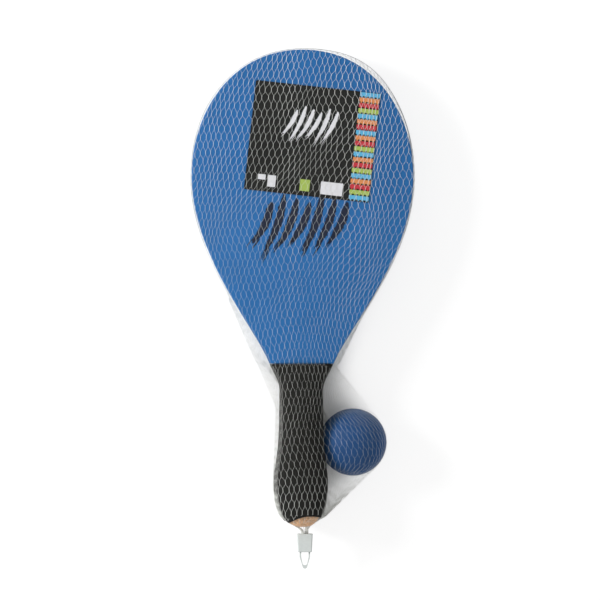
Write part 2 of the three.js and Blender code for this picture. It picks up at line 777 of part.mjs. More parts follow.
function clipSleeve() {
  const edge = clipCorner / 2;
  const body = loft([
    boxRing(clipWidth - 2 * edge, clipDepth - 2 * edge, clipCorner, clipTop),
    boxRing(clipWidth, clipDepth, clipCorner, clipTop - edge),
    boxRing(clipFootWidth, clipDepth, clipCorner, clipFoot + edge),
    boxRing(clipFootWidth - 2 * edge, clipDepth - 2 * edge, clipCorner, clipFoot),
  ]);
  const half = clipFootWidth / 2 - clipWall;
  const deep = clipDepth / 2 - clipWall;
  const bore = block(
    new THREE.Vector3(clipOffset - half, clipFoot - cutOverrun, -deep),
    new THREE.Vector3(clipOffset + half, clipTop + cutOverrun, deep),
  );
  return solid(body).subtract(bore);
}

// The plug's tongue fills the sleeve's lower half, and its loop hangs out of the mouth
function clipPlug() {
  const half = clipFootWidth / 2 - clipWall - plugFit;
  const deep = clipDepth / 2 - clipWall - plugFit;
  const tongue = block(
    new THREE.Vector3(clipOffset - half, clipFoot + loopWire, -deep),
    new THREE.Vector3(clipOffset + half, clipFoot + plugInsert, deep),
  );
  const tip = loopTipWidth / 2;
  const outline = (inset, top, bottom) => {
    const shape = new THREE.Path();
    shape.moveTo(-half + inset, top);
    shape.lineTo(-half + inset, -loopLength * loopShoulder_share);
    shape.lineTo(-tip, bottom + tip);
    shape.absarc(0, bottom + tip, tip, Math.PI, 2 * Math.PI, false);
    shape.lineTo(half - inset, -loopLength * loopShoulder_share);
    shape.lineTo(half - inset, top);
    return shape;
  };
  const loop = new THREE.Shape(outline(0, plugInsert / 2, -loopLength).getPoints(loopFacets));
  loop.holes.push(outline(loopWire, 0, -loopLength + loopTipLength));
  const geometry = new THREE.ExtrudeGeometry(loop, {
    depth: loopWire,
    bevelEnabled: false,
    curveSegments: loopFacets,
  });
  geometry.translate(clipOffset, clipFoot, -loopWire / 2);
  return solid(geometry).add(tongue);
}

const parts = new THREE.Group();
const kit = new THREE.Group();
kit.rotation.x = -tilt;
kit.position.z = pairHeight;

const frontRacket = racket("front_racket");
frontRacket.position.z = pairHalfPitch;
const backRacket = racket("back_racket");
backRacket.position.z = -pairHalfPitch;
backRacket.rotation.z = -backRacketTurn;
kit.add(frontRacket, backRacket);
kit.add(piece("ball_front_cup", ballCup(1), blueRubber));
kit.add(piece("ball_rear_cup", ballCup(-1), blueRubber));
kit.add(piece("label_card", card(), blackCard));
kit.add(piece("net_tube", net(), clearNet));
kit.add(piece("clip_sleeve", clipSleeve(), greyPlastic));
kit.add(piece("clip_plug", clipPlug(), greyPlastic));
parts.add(kit);

export default parts;
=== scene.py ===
"""A packed frescobol set: two beach rackets, a ball and a card in a drawn plastic net with its clip.

The pieces are shaped in the pair's own frame, in millimetres: X across the blades, Y from the
handles to the blade tips with 0 at the blades' widest line, Z out of the front racket's face with 0
midway between the rackets. Pair.place turns such points into metres of the set's frame, in which
the pair lies tipped on the table.
"""

from __future__ import annotations

import logging
import math
from dataclasses import dataclass, field
from enum import Enum
from typing import Any, Iterable, Sequence

import bpy
import numpy as np
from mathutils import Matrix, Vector

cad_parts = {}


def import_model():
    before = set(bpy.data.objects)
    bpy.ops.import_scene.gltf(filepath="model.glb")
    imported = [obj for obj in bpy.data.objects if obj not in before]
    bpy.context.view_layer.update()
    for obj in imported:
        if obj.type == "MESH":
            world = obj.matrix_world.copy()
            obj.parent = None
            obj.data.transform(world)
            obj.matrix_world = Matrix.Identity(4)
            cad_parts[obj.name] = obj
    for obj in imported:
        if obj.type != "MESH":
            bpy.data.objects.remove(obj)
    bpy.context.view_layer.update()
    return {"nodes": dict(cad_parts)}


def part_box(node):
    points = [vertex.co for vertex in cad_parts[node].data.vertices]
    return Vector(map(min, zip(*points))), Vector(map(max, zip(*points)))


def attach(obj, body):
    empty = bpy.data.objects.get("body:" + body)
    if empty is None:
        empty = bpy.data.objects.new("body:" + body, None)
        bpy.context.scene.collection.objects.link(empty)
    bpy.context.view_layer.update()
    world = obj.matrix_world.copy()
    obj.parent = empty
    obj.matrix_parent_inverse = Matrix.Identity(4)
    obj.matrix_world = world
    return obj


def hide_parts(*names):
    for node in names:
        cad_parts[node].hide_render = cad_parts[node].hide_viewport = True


log = logging.getLogger("frescobol")

METRES = 0.001
PACK = "pack"
TINY = 1e-9
OCCLUSION_SAMPLES = 16
MIX_LOW = 6
MIX_HIGH = 7
MIX_RESULT = 2
BRUSH_SEED = 7
SCATTER = (12.9898, 78.233, 43758.5453)


def from_srgb(red: int, green: int, blue: int) -> tuple[float, float, float]:
    """A colour as a paint chip shows it, 0 to 255, as the linear values that shaders take."""
    parts = (c / 255.0 for c in (red, green, blue))
    return tuple(c / 12.92 if c <= 0.04045 else ((c + 0.055) / 1.055) ** 2.4 for c in parts)


def part_way(x: Any, start: float, run: float) -> Any:
    """Share of a run from its start that a place has reached, 0 to 1. A run below 0 goes down."""
    return np.clip((x - start) / run, 0.0, 1.0)


def rise(x: Any, start: float = 0.0, run: float = 1.0) -> Any:
    """Share of a run that a place has reached, eased so that it starts and ends level."""
    share = part_way(x, start, run)
    return share * share * (3.0 - 2.0 * share)


def bell(x: Any, middle: float, width: float) -> Any:
    """1 at the middle, falling to 0 on both sides."""
    return np.exp(-(((x - middle) / width) ** 2))


def nearest(values: np.ndarray, wanted: float, allowed: np.ndarray) -> int:
    """Number of the allowed value that lies nearest to the wanted one."""
    return int(np.argmin(np.where(allowed, np.abs(values - wanted), np.inf)))


def turned(x: Any, y: Any, angle: float) -> tuple[Any, Any]:
    """Two coordinates turned anticlockwise about their origin."""
    c, s = math.cos(angle), math.sin(angle)
    return x * c - y * s, x * s + y * c


def squared_oval(turns: np.ndarray, exponent: float) -> tuple[np.ndarray, ...]:
    """Both coordinates round an oval of radius 1, which gets squarer as the exponent grows."""
    shares = (np.cos(turns), np.sin(turns))
    return tuple(np.sign(share) * np.abs(share) ** (2.0 / exponent) for share in shares)


def distances(line: np.ndarray) -> np.ndarray:
    """How far each point of a line lies along it."""
    return np.concatenate([[0.0], np.cumsum(np.linalg.norm(np.diff(line, axis=0), axis=1))])


def points_at(places: Any, along: np.ndarray, line: np.ndarray) -> np.ndarray:
    """Points of a line at places along it, by the distances of its own points."""
    return np.stack([np.interp(places, along, values) for values in line.T], axis=-1)


def unit(vectors: np.ndarray) -> np.ndarray:
    """Vectors of length 1 along these."""
    return vectors / np.maximum(np.linalg.norm(vectors, axis=1), TINY)[:, None]


def left_of(ahead: np.ndarray) -> np.ndarray:
    """Vectors of length 1 in X and Y at right angles to these, on their left."""
    return unit(np.column_stack([-ahead[:, 1], ahead[:, 0]]))


def put_in_scene(name: str, data: bpy.types.ID) -> bpy.types.Object:
    """Put something into the scene.

    Args:
        name: the new object's name.
        data: the mesh, light or camera that it shows.

    Returns:
        The new object.
    """
    made = bpy.data.objects.new(name, data)
    bpy.context.scene.collection.objects.link(made)
    return made


# Shader sheets


class Signal:
    """A number that varies over a surface. Arithmetic on it adds Math nodes to its sheet."""

    def __init__(self, sheet: "ShaderSheet", socket: bpy.types.NodeSocket) -> None:
        """Wrap one output socket of a sheet's node."""
        self.sheet = sheet
        self.socket = socket

    def maths(self, operation: str, *values: Any) -> "Signal":
        """Add one Math node.

        Args:
            operation: the node's operation.
            values: its inputs in order, numbers or signals.

        Returns:
            The node's result.
        """
        node = self.sheet.node("ShaderNodeMath", {"operation": operation}, dict(enumerate(values)))
        return Signal(self.sheet, node.outputs[0])

    def __add__(self, other: Any) -> "Signal":
        """Sum."""
        return self.maths("ADD", self, other)

    __radd__ = __add__

    def __sub__(self, other: Any) -> "Signal":
        """Difference."""
        return self.maths("SUBTRACT", self, other)

    def __rsub__(self, other: Any) -> "Signal":
        """Difference from a number."""
        return self.maths("SUBTRACT", other, self)

    def __mul__(self, other: Any) -> "Signal":
        """Product."""
        return self.maths("MULTIPLY", self, other)

    __rmul__ = __mul__

    def held(self) -> "Signal":
        """The same number, kept between 0 and 1."""
        return self.maths("MAXIMUM", self.maths("MINIMUM", self, 1.0), 0.0)

    def rise(self, start: float, end: float) -> "Signal":
        """0 below start and 1 above end, straight between them."""
        return ((self - start) * (1.0 / (end - start))).held()


class ShaderSheet:
    """One material under construction, with helpers that add its nodes."""

    def __init__(self, name: str) -> None:
        """Start an empty node material.

        Args:
            name: the material's name.
        """
        self.material = bpy.data.materials.new(name)
        self.material.use_nodes = True
        self.tree = self.material.node_tree
        self.tree.nodes.clear()

    @classmethod
    def of_world(cls, name: str) -> "ShaderSheet":
        """Start an empty sheet on a new world, which becomes the scene's.

        Args:
            name: the world's name.

        Returns:
            The sheet.
        """
        world = bpy.data.worlds.new(name)
        bpy.context.scene.world = world
        world.use_nodes = True
        sheet = cls.__new__(cls)
        sheet.tree = world.node_tree
        sheet.tree.nodes.clear()
        return sheet

    def looked_at(self) -> Signal:
        """Tell the rays that show a surface from those that carry its light.

        Returns:
            1 for rays from the camera, a mirror or glass, and 0 for the others.
        """
        rays = self.node("ShaderNodeLightPath", {}, {})
        names = ("Is Camera Ray", "Is Glossy Ray", "Is Transmission Ray")
        camera, glossy, through = (Signal(self, rays.outputs[name]) for name in names)
        return camera.maths("MAXIMUM", camera.maths("MAXIMUM", camera, glossy), through)

    def node(self, kind: str, settings: dict[str, Any], inputs: dict[Any, Any]) -> bpy.types.Node:
        """Add a node.

        Args:
            kind: the node's type.
            settings: attributes that are set before its sockets are read.
            inputs: values, signals or output sockets by input name or number.

        Returns:
            The new node.
        """
        made = self.tree.nodes.new(kind)
        for name, value in settings.items():
            setattr(made, name, value)
        for name, value in inputs.items():
            socket = made.inputs[name]
            if isinstance(value, Signal):
                self.tree.links.new(value.socket, socket)
            elif isinstance(value, bpy.types.NodeSocket):
                self.tree.links.new(value, socket)
            else:
                socket.default_value = value
        return made

    def place(self, stretch: Sequence[float]) -> bpy.types.NodeSocket:
        """Places on the piece, in metres, each axis times its stretch."""
        sockets = {0: self.node("ShaderNodeTexCoord", {}, {}).outputs["Object"], 1: tuple(stretch)}
        return self.node("ShaderNodeVectorMath", {"operation": "MULTIPLY"}, sockets).outputs[0]

    def noise(self, size: float, detail: float, stretch: Sequence[float]) -> Signal:
        """Cloudy noise.

        Args:
            size: the length of its features, in millimetres.
            detail: how many finer layers it has.
            stretch: how much finer it is along each axis.

        Returns:
            A number from 0 to 1, about 0.5 on average.
        """
        settings = {"Vector": self.place(stretch), "Scale": 1.0 / (size * METRES), "Detail": detail}
        return Signal(self, self.node("ShaderNodeTexNoise", {}, settings).outputs["Fac"])

    def openness(self, reach: float) -> Signal:
        """How little stands over a place within a reach in metres: 1 in the open, 0 in a deep recess."""
        settings, values = {"samples": OCCLUSION_SAMPLES}, {"Distance": reach}
        return Signal(self, self.node("ShaderNodeAmbientOcclusion", settings, values).outputs["AO"])

    def blend(self, factor: Signal, low: Sequence[float], high: Sequence[float]) -> bpy.types.NodeSocket:
        """A colour between two, by a factor from 0 to 1."""
        sockets = {0: factor, MIX_LOW: (*low, 1.0), MIX_HIGH: (*high, 1.0)}
        return self.node("ShaderNodeMix", {"data_type": "RGBA"}, sockets).outputs[MIX_RESULT]

    def bump(self, height: Signal, distance: float, strength: float) -> bpy.types.NodeSocket:
        """A normal bent by a height of so many millimetres."""
        values = {"Height": height, "Distance": distance * METRES, "Strength": strength}
        return self.node("ShaderNodeBump", {}, values).outputs[0]

    def finish(self, values: dict[str, Any]) -> bpy.types.Material:
        """Close the sheet with a Principled shader.

        Args:
            values: the shader's socket values.

        Returns:
            The finished material.
        """
        shader = self.node("ShaderNodeBsdfPrincipled", {}, values)
        self.node("ShaderNodeOutputMaterial", {}, {"Surface": shader.outputs[0]})
        return self.material


@dataclass(frozen=True)
class Finish:
    """A finish with one mottled colour, a roughness and a fine bump."""

    name: str
    colour: tuple[float, float, float]
    roughness: float
    mottle: float = 0.12
    mottle_size: float = 9.0
    grain: tuple[float, float, float] = (1.0, 1.0, 1.0)
    bump_size: float = 0.8
    bump_height: float = 0.02
    bump_strength: float = 0.3
    specular: float = 0.5
    sheen: float = 0.0
    noise_layers: float = 3.0
    cloud_span: tuple[float, float] = (0.3, 0.7)
    roughness_spread: float = 0.1

    def make(self) -> bpy.types.Material:
        """Build the finish.

        Returns:
            A new material of its name.
        """
        sheet = ShaderSheet(self.name)
        low, high = (
            tuple(min(1.0, c * (1.0 + change)) for c in self.colour)
            for change in (-self.mottle, self.mottle)
        )
        cloud, fine = (
            sheet.noise(size, self.noise_layers, self.grain)
            for size in (self.mottle_size, self.bump_size)
        )
        roughness = cloud * self.roughness_spread + (self.roughness - self.roughness_spread / 2)
        return sheet.finish({
            "Base Color": sheet.blend(cloud.rise(*self.cloud_span), low, high),
            "Roughness": roughness.held(),
            "Normal": sheet.bump(fine, self.bump_height, self.bump_strength),
            "Specular IOR Level": self.specular,
            "Sheen Weight": self.sheen,
        })


class Look(Enum):
    """The finishes of the set, by what they are on."""

    PAINT = Finish(
        "blue_board_paint", from_srgb(38, 99, 157), 0.45, 0.05, 30.0, bump_size=1.6, specular=0.18
    )
    WOOD = Finish(
        "bare_butt_wood", from_srgb(214, 172, 135), 0.7, 0.42, 1.5, (1.5, 0.8, 1.5), 0.5, 0.06, 0.5,
        0.3,
    )
    FOAM = Finish(
        "black_grip_foam", from_srgb(25, 25, 23), 0.85, 0.25, 5.0, bump_size=0.7, bump_height=0.12,
        bump_strength=0.6, specular=0.12, sheen=0.03,
    )
    RUBBER = Finish(
        "blue_ball_rubber", from_srgb(28, 67, 113), 0.6, 0.06, 8.0, bump_size=0.9, specular=0.2
    )
    CARD = Finish("black_card_print", from_srgb(19, 20, 18), 0.4, 0.3, 40.0, bump_size=2.0, specular=0.2)
    INK = Finish("navy_brush_ink", from_srgb(18, 26, 45), 0.6, 0.25, 2.0, specular=0.25)
    WHITE_INK = Finish("white_brush_ink", from_srgb(211, 211, 215), 0.6, 0.05, 2.0)
    CYAN = Finish("cyan_bar_print", from_srgb(82, 166, 205), 0.45, 0.05, 2.0)
    ORANGE = Finish("orange_bar_print", from_srgb(207, 129, 71), 0.45, 0.05, 2.0)
    RED = Finish("red_bar_print", from_srgb(183, 34, 49), 0.45, 0.05, 2.0)
    GREEN = Finish("green_bar_print", from_srgb(153, 176, 78), 0.45, 0.05, 2.0)
    NET = Finish(
        "white_net_plastic", from_srgb(218, 219, 214), 0.35, 0.04, 3.0, bump_size=2.0, bump_height=0.01
    )
    CLIP = Finish("pale_clip_plastic", from_srgb(199, 205, 203), 0.38, 0.03, 3.0, bump_size=2.0)


class Paints:
    """Makes each look's material once and hands it out."""

    def __init__(self) -> None:
        """Start with no material made."""
        self.made: dict[Look, bpy.types.Material] = {}

    def get(self, look: Look) -> bpy.types.Material:
        """Find a look's material, or make it the first time.

        Args:
            look: the look.

        Returns:
            Its material.
        """
        if look not in self.made:
            self.made[look] = look.value.make()
        return self.made[look]


# Meshes


class Shell:
    """Points and faces gathered for one piece, with the number of a look on each face."""

    def __init__(self) -> None:
        """Start with nothing gathered."""
        self.points: list[np.ndarray] = []
        self.faces: list[Sequence[int]] = []
        self.looks: list[int] = []
        self.count = 0

    def loft(self, rings: np.ndarray, look: int = 0, ring_shaped: bool = False) -> None:
        """Add a body through rings of equally many points.

        Args:
            rings: millimetres by ring, point and coordinate.
            look: which of the piece's looks it takes.
            ring_shaped: join the last ring to the first, with no ends.
        """
        count, sides = rings.shape[:2]
        start, end = self.count, self.count + count * sides
        faces: list[Sequence[int]] = []
        for r in range(count if ring_shaped else count - 1):
            a, b = (start + k % count * sides for k in (r, r + 1))
            faces += [(a + i, a + (i + 1) % sides, b + (i + 1) % sides, b + i) for i in range(sides)]
        if not ring_shaped:
            faces += [range(start, start + sides)[::-1], range(end - sides, end)]
        self.points.append(rings.reshape(-1, 3))
        self.faces += faces
        self.looks += [look] * len(faces)
        self.count = end

    def slab(self, outline: np.ndarray, low: float, high: float, look: int = 0) -> None:
        """Add a flat body between two heights over an outline in X and Y."""
        rings = [np.column_stack([outline, np.full(len(outline), z)]) for z in (low, high)]
        self.loft(np.array(rings), look)


@dataclass(frozen=True)
class Workshop:
    """Turns shells into pieces of the scene."""

    pair: "Pair"
    paints: Paints

    def piece(
        self, name: str, shell: Shell, looks: Sequence[Look], slot: str, nodes: Sequence[str] = (),
        sharp: float = 40.0,
    ) -> bpy.types.Object:
        """Make a piece that rides on the pack.

        Args:
            name: the piece's name.
            shell: its points in the pair's frame and its faces.
            looks: its looks, by the numbers on its faces.
            slot: the record's material slot; not used.
            nodes: the CAD nodes that it replaces.
            sharp: edges over this angle stay sharp, in degrees.

        Returns:
            The new object.
        """
        mesh = bpy.data.meshes.new(name)
        placed = self.pair.place(np.concatenate(shell.points))
        mesh.from_pydata(placed.tolist(), [], shell.faces)
        for look in looks:
            mesh.materials.append(self.paints.get(look))
        mesh.polygons.foreach_set("material_index", shell.looks)
        mesh.validate()
        mesh.shade_smooth()
        mesh.set_sharp_from_angle(angle=math.radians(sharp))
        made = put_in_scene(name, mesh)
        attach(made, PACK)
        if nodes:
            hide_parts(*nodes)
        log.info("%s: %d faces", name, len(mesh.polygons))
        return made


# The rackets


def bezier(corners: Sequence[tuple[float, float]], count: int = 400) -> np.ndarray:
    """Draw a cubic curve.

    Args:
        corners: its four corners.
        count: how many points it gets.

    Returns:
        Its points.
    """
    t = np.linspace(0.0, 1.0, count)[:, None]
    p = np.array(corners, float)
    return (
        (1 - t) ** 3 * p[0] + 3 * (1 - t) ** 2 * t * p[1] + 3 * (1 - t) * t**2 * p[2] + t**3 * p[3]
    )


@dataclass(frozen=True)
class RacketSizes:
    """Sizes of one racket, and the widths and depths that follow from them."""

    blade_width: float = 191.0
    crown: float = 108.8
    taper: float = 162.0
    neck_width: float = 53.4
    board: float = 9.0
    edge_round: float = 1.2
    neck_slope: float = 0.44
    crown_pull_shares: tuple[float, float] = (0.48, 0.66)
    taper_pull_shares: tuple[float, float] = (0.425, 0.212)
    handle_length: float = 140.0
    handle: float = 30.0
    waist: float = 35.6
    flare: float = 43.6
    flare_distance: float = 100.0
    ramp: float = 18.0
    scale_lip: float = 1.2
    glue_gap: float = 0.3
    sleeve_wall: float = 2.4
    sleeve_fit: float = 0.3
    scale_setback: float = 2.5
    paint_reach: float = 8.0
    hem_distance: float = 130.5
    hem_apex: float = 6.5
    hem_arch: float = 0.019
    butt_round: float = 11.0
    neck_run_shares: tuple[float, float, float] = (0.62, 0.8, 1.3)
    flare_onset: float = 2.6
    butt_exponent: float = 2.6
    section_exponent: float = 2.05

    @property
    def cover(self) -> float:
        """Thickness of foam and play over the wood."""
        return self.sleeve_wall + self.sleeve_fit

    @property
    def butt(self) -> float:
        """Place of the butt's end along Y."""
        return -(self.taper + self.handle_length)

    def outline(self) -> np.ndarray:
        """Draw the right-hand edge of the blade.

        Returns:
            Points in X and Y from the neck to the tip.
        """
        half, neck_half = self.blade_width / 2, self.neck_width / 2
        side, tip = self.crown_pull_shares
        crown = bezier([(half, 0), (half, self.crown * side), (half * tip, self.crown), (0, self.crown)])
        side, neck = self.taper_pull_shares
        reach = self.taper * neck
        taper = bezier([
            (half, 0), (half, -self.taper * side),
            (neck_half + self.neck_slope * reach, reach - self.taper), (neck_half, -self.taper),
        ])
        return np.concatenate([taper[:0:-1], crown])

    def blade_half(self, y: Any) -> Any:
        """Half width of the blade at a place along Y."""
        edge = self.outline()
        return np.interp(y, edge[:, 1], edge[:, 0])

    def butt_share(self, distance: Any) -> Any:
        """Share of the flare's width that is left at a distance below the neck."""
        along = part_way(distance, self.flare_distance, self.handle_length - self.flare_distance)
        return (1.0 - along**self.butt_exponent) ** (1.0 / self.butt_exponent)

    def sleeve_half(self, distance: Any) -> Any:
        """Half width of the sleeve.

        Args:
            distance: how far below the neck, one place or more.

        Returns:
            The half width at each place.
        """
        leave, arrive, end = (self.ramp * share for share in self.neck_run_shares)
        run = bezier([
            (self.neck_width / 2, 0), ((self.neck_width + self.waist) / 4, leave),
            (self.waist / 2, arrive), (self.waist / 2, end),
        ])
        swell = rise(part_way(distance, end, self.flare_distance - end) ** self.flare_onset)
        lower = self.waist / 2 + (self.flare - self.waist) / 2 * swell
        half = np.where(distance <= end, np.interp(distance, run[:, 1], run[:, 0]), lower)
        return np.where(distance <= self.flare_distance, half, self.flare / 2 * self.butt_share(distance))

    def core_half(self, distance: Any) -> Any:
        """Half width of the wood at a distance below the neck."""
        lower = (self.flare / 2 - self.cover) * self.butt_share(distance)
        return np.where(distance <= self.flare_distance, self.sleeve_half(distance) - self.cover, lower)

    def core_deep(self, distance: Any) -> Any:
        """Half thickness of the wood.

        Args:
            distance: how far below the neck, one place or more.

        Returns:
            The half thickness at each place.
        """
        lip = self.board / 2 + self.glue_gap + self.scale_lip
        full = self.handle / 2 - self.cover
        past = part_way(distance, self.handle_length - self.butt_round, self.butt_round)
        return (lip + (full - lip) * rise(distance, 0.0, self.ramp)) * np.sqrt(1.0 - past**2)

@dataclass(frozen=True)
class Pair:
    """How the two rackets lie: handle on handle, tipped until the lower one rests on the table."""

    racket: RacketSizes = RacketSizes()
    handle_gap: float = 0.3
    foot: float = 1.1
    back_turn: float = math.radians(0.7)

    @property
    def half_pitch(self) -> float:
        """From the middle of the pair to the middle of a board."""
        return (self.racket.handle + self.handle_gap) / 2

    @property
    def tilt(self) -> float:
        """How far the pair is tipped, in radians."""
        r = self.racket
        return math.atan((r.handle - r.board) / 2 / (r.crown + r.taper + r.ramp))

    @property
    def height(self) -> float:
        """Height of the pair's middle over the table."""
        lowest = (self.half_pitch + self.racket.board / 2) * math.cos(self.tilt)
        return self.foot + self.racket.crown * math.sin(self.tilt) + lowest

    def place(self, points: np.ndarray) -> np.ndarray:
        """Points of the pair's frame, in millimetres, as metres of the set's frame."""
        y, z = turned(points[:, 1], points[:, 2], -self.tilt)
        return np.column_stack([points[:, 0], y, z + self.height]) * METRES

    def lift(self, points: np.ndarray) -> np.ndarray:
        """Points of the set's frame, in metres, as millimetres of the pair's frame."""
        x, y, z = (points / METRES).T
        return np.column_stack([x, *turned(y, z - self.height, self.tilt)])

    def table(self, y: Any) -> Any:
        """Height of the table in the pair's frame at a place along Y."""
        return (-self.height + y * math.sin(self.tilt)) / math.cos(self.tilt)

    @property
    def face(self) -> float:
        """Height of the front blade's face in the pair's frame."""
        return self.half_pitch + self.racket.board / 2


@dataclass(frozen=True)
class Racket:
    """One racket: painted blade and tang in one board, two wooden scales, a foam sleeve."""

    prefix: str
    side: int
    shop: Workshop
    edge_steps: int = 5
    blade_points: int = 110
    section_points: int = 56
    arc_points: int = 12
    handle_steps: int = 60
    inner_stride: int = 4
    hem_round: float = 0.5
    hem_rounds: int = 24
    tang_gap: float = 0.1
    tang_setback: float = 0.15
    least_depth: float = 1e-6

    @property
    def sizes(self) -> RacketSizes:
        """The racket's sizes."""
        return self.shop.pair.racket

    def put(self, points: np.ndarray) -> np.ndarray:
        """Move points of a racket that lies on its own middle to this racket's place in the pair.

        Args:
            points: any array whose last axis is X, Y and Z.

        Returns:
            An array of the same shape.
        """
        pair = self.shop.pair
        x, y, z = points.reshape(-1, 3).T
        x, y = turned(x, y, -pair.back_turn if self.side < 0 else 0.0)
        return np.column_stack([x, y, z + self.side * pair.half_pitch]).reshape(points.shape)

    def blade_rings(self) -> np.ndarray:
        """Shape the blade with its rounded edge.

        Returns:
            Rings round the blade from its rear face to its front face.
        """
        r = self.sizes
        edge = r.outline()
        along = distances(edge)
        right = points_at(np.linspace(0.0, along[-1], self.blade_points), along, edge)
        line = np.concatenate([right, right[-2::-1] * (-1.0, 1.0)])
        inward = left_of(np.roll(line, -1, axis=0) - np.roll(line, 1, axis=0))
        levels = []
        for turn in np.linspace(0.0, math.pi / 2, self.edge_steps)[::-1]:
            z = r.board / 2 - r.edge_round * (1 - math.sin(turn))
            levels.append((r.edge_round * (1 - math.cos(turn)), z))
        levels = [(inset, -z) for inset, z in levels] + levels[::-1]
        return np.array([
            np.column_stack([line + inward * inset, np.full(len(line), z)]) for inset, z in levels
        ])

    def stations(self, start: float, end: float) -> np.ndarray:
        """Distances below the neck, closer together towards the butt."""
        share = np.linspace(0.0, 1.0, self.handle_steps)
        return start + (end - start) * np.sin(share * math.pi / 2)

    def section(self, distance: float, turns: np.ndarray) -> np.ndarray:
        """Cut across the wood of the handle.

        Args:
            distance: how far below the neck.
            turns: where round the handle its points lie.

        Returns:
            The points.
        """
        r = self.sizes
        x, z = squared_oval(turns, r.section_exponent)
        y = np.full(len(turns), -r.taper - distance)
        return np.column_stack([x * float(r.core_half(distance)), y, z * float(r.core_deep(distance))])

    def clip_turn(self, distance: float, height: float) -> float:
        """Turn at which the section reaches a height over the handle's middle."""
        deep = max(float(self.sizes.core_deep(distance)), self.least_depth)
        return math.asin(min(1.0, height / deep) ** (self.sizes.section_exponent / 2))

    def board(self) -> bpy.types.Object:
        """Make the blade and its tang, painted until a little below the neck and bare from there.

        Returns:
            The piece.
        """
        r = self.sizes
        shell = Shell()
        shell.loft(self.put(self.blade_rings()))
        places = self.stations(self.tang_gap, r.handle_length - self.tang_setback)
        rings = []
        for distance in places:
            turn = self.clip_turn(distance, r.board / 2)
            arc = np.linspace(-turn, turn, self.arc_points)
            rings.append(self.section(distance, np.concatenate([arc, arc + math.pi])))
        first = len(shell.looks)
        shell.loft(self.put(np.array(rings)), look=1)
        painted = 2 * self.arc_points * int(np.sum(places < r.paint_reach))
        shell.looks[first:first + painted] = [0] * painted
        looks, nodes = [Look.PAINT, Look.WOOD], [f"{self.prefix}_board"]
        return self.shop.piece(f"{self.prefix}_blade_and_tang", shell, looks, "blue_board", nodes)

    def scale(self, front: bool) -> bpy.types.Object:
        """Make one of the wooden halves that are glued on the tang.

        Args:
            front: whether it is the one on the front.

        Returns:
            The piece.
        """
        r = self.sizes
        start = r.board / 2 + r.glue_gap / 3
        deepest = r.handle / 2 - r.cover
        low_part = r.butt_round * math.sqrt(1 - ((start + r.glue_gap) / deepest) ** 2)
        rings = []
        for distance in self.stations(r.scale_setback, r.handle_length - r.butt_round + low_part):
            turn = self.clip_turn(distance, start)
            rings.append(self.section(distance, np.linspace(turn, math.pi - turn, 2 * self.arc_points)))
        made = np.array(rings)
        if not front:
            made = made[:, ::-1] * (1.0, 1.0, -1.0)
        shell = Shell()
        shell.loft(self.put(made))
        stem = f"{self.prefix}_{'face' if front else 'rear'}"
        return self.shop.piece(f"{stem}_wood", shell, [Look.WOOD], "bare_wood", [f"{stem}_scale"])

    def sleeve_ring(self, share: float, inset: float, below: float = 0.0) -> np.ndarray:
        """One ring of the foam sleeve, from its top edge at share 0 to its arched hem at share 1.

        Args:
            share: how far down the sleeve the ring is.
            inset: how deep under the foam's outer face it is.
            below: how far it lies below that place along the handle.

        Returns:
            The ring's points.
        """
        r = self.sizes
        turns = np.linspace(0, 2 * math.pi, self.section_points, endpoint=False)
        out, up = squared_oval(turns, r.section_exponent)
        top = -r.taper - r.sleeve_fit
        settled = np.zeros(len(turns))
        for _ in range(self.hem_rounds):
            hem = -r.taper - r.hem_distance - r.hem_arch * (settled - r.hem_apex) ** 2
            y = top + (hem - top) * share - below
            x = (r.sleeve_half(-r.taper - y) - inset) * out
            settled = (settled + x) / 2
        return np.column_stack([x, y, (r.core_deep(-r.taper - y) + r.cover - inset) * up])

    def sleeve(self) -> bpy.types.Object:
        """Make the foam sleeve over the handle, open at both ends.

        Returns:
            The piece.
        """
        shares = np.linspace(0.0, 1.0, self.handle_steps)
        rings = [self.sleeve_ring(share, 0.0) for share in shares[:-1]]
        rings.append(self.sleeve_ring(1.0, 0.0, -self.hem_round))
        rings.append(self.sleeve_ring(1.0, self.hem_round))
        rings += [self.sleeve_ring(share, self.sizes.sleeve_wall) for share in shares[::-self.inner_stride]]
        shell = Shell()
        shell.loft(self.put(np.array(rings)), ring_shaped=True)
        nodes = [f"{self.prefix}_grip_sleeve"]
        return self.shop.piece(f"{self.prefix}_foam_grip", shell, [Look.FOAM], "grip_foam", nodes)

    def build(self) -> list[bpy.types.Object]:
        """All pieces of the racket."""
        return [self.board(), self.scale(True), self.scale(False), self.sleeve()]


# Ball and card


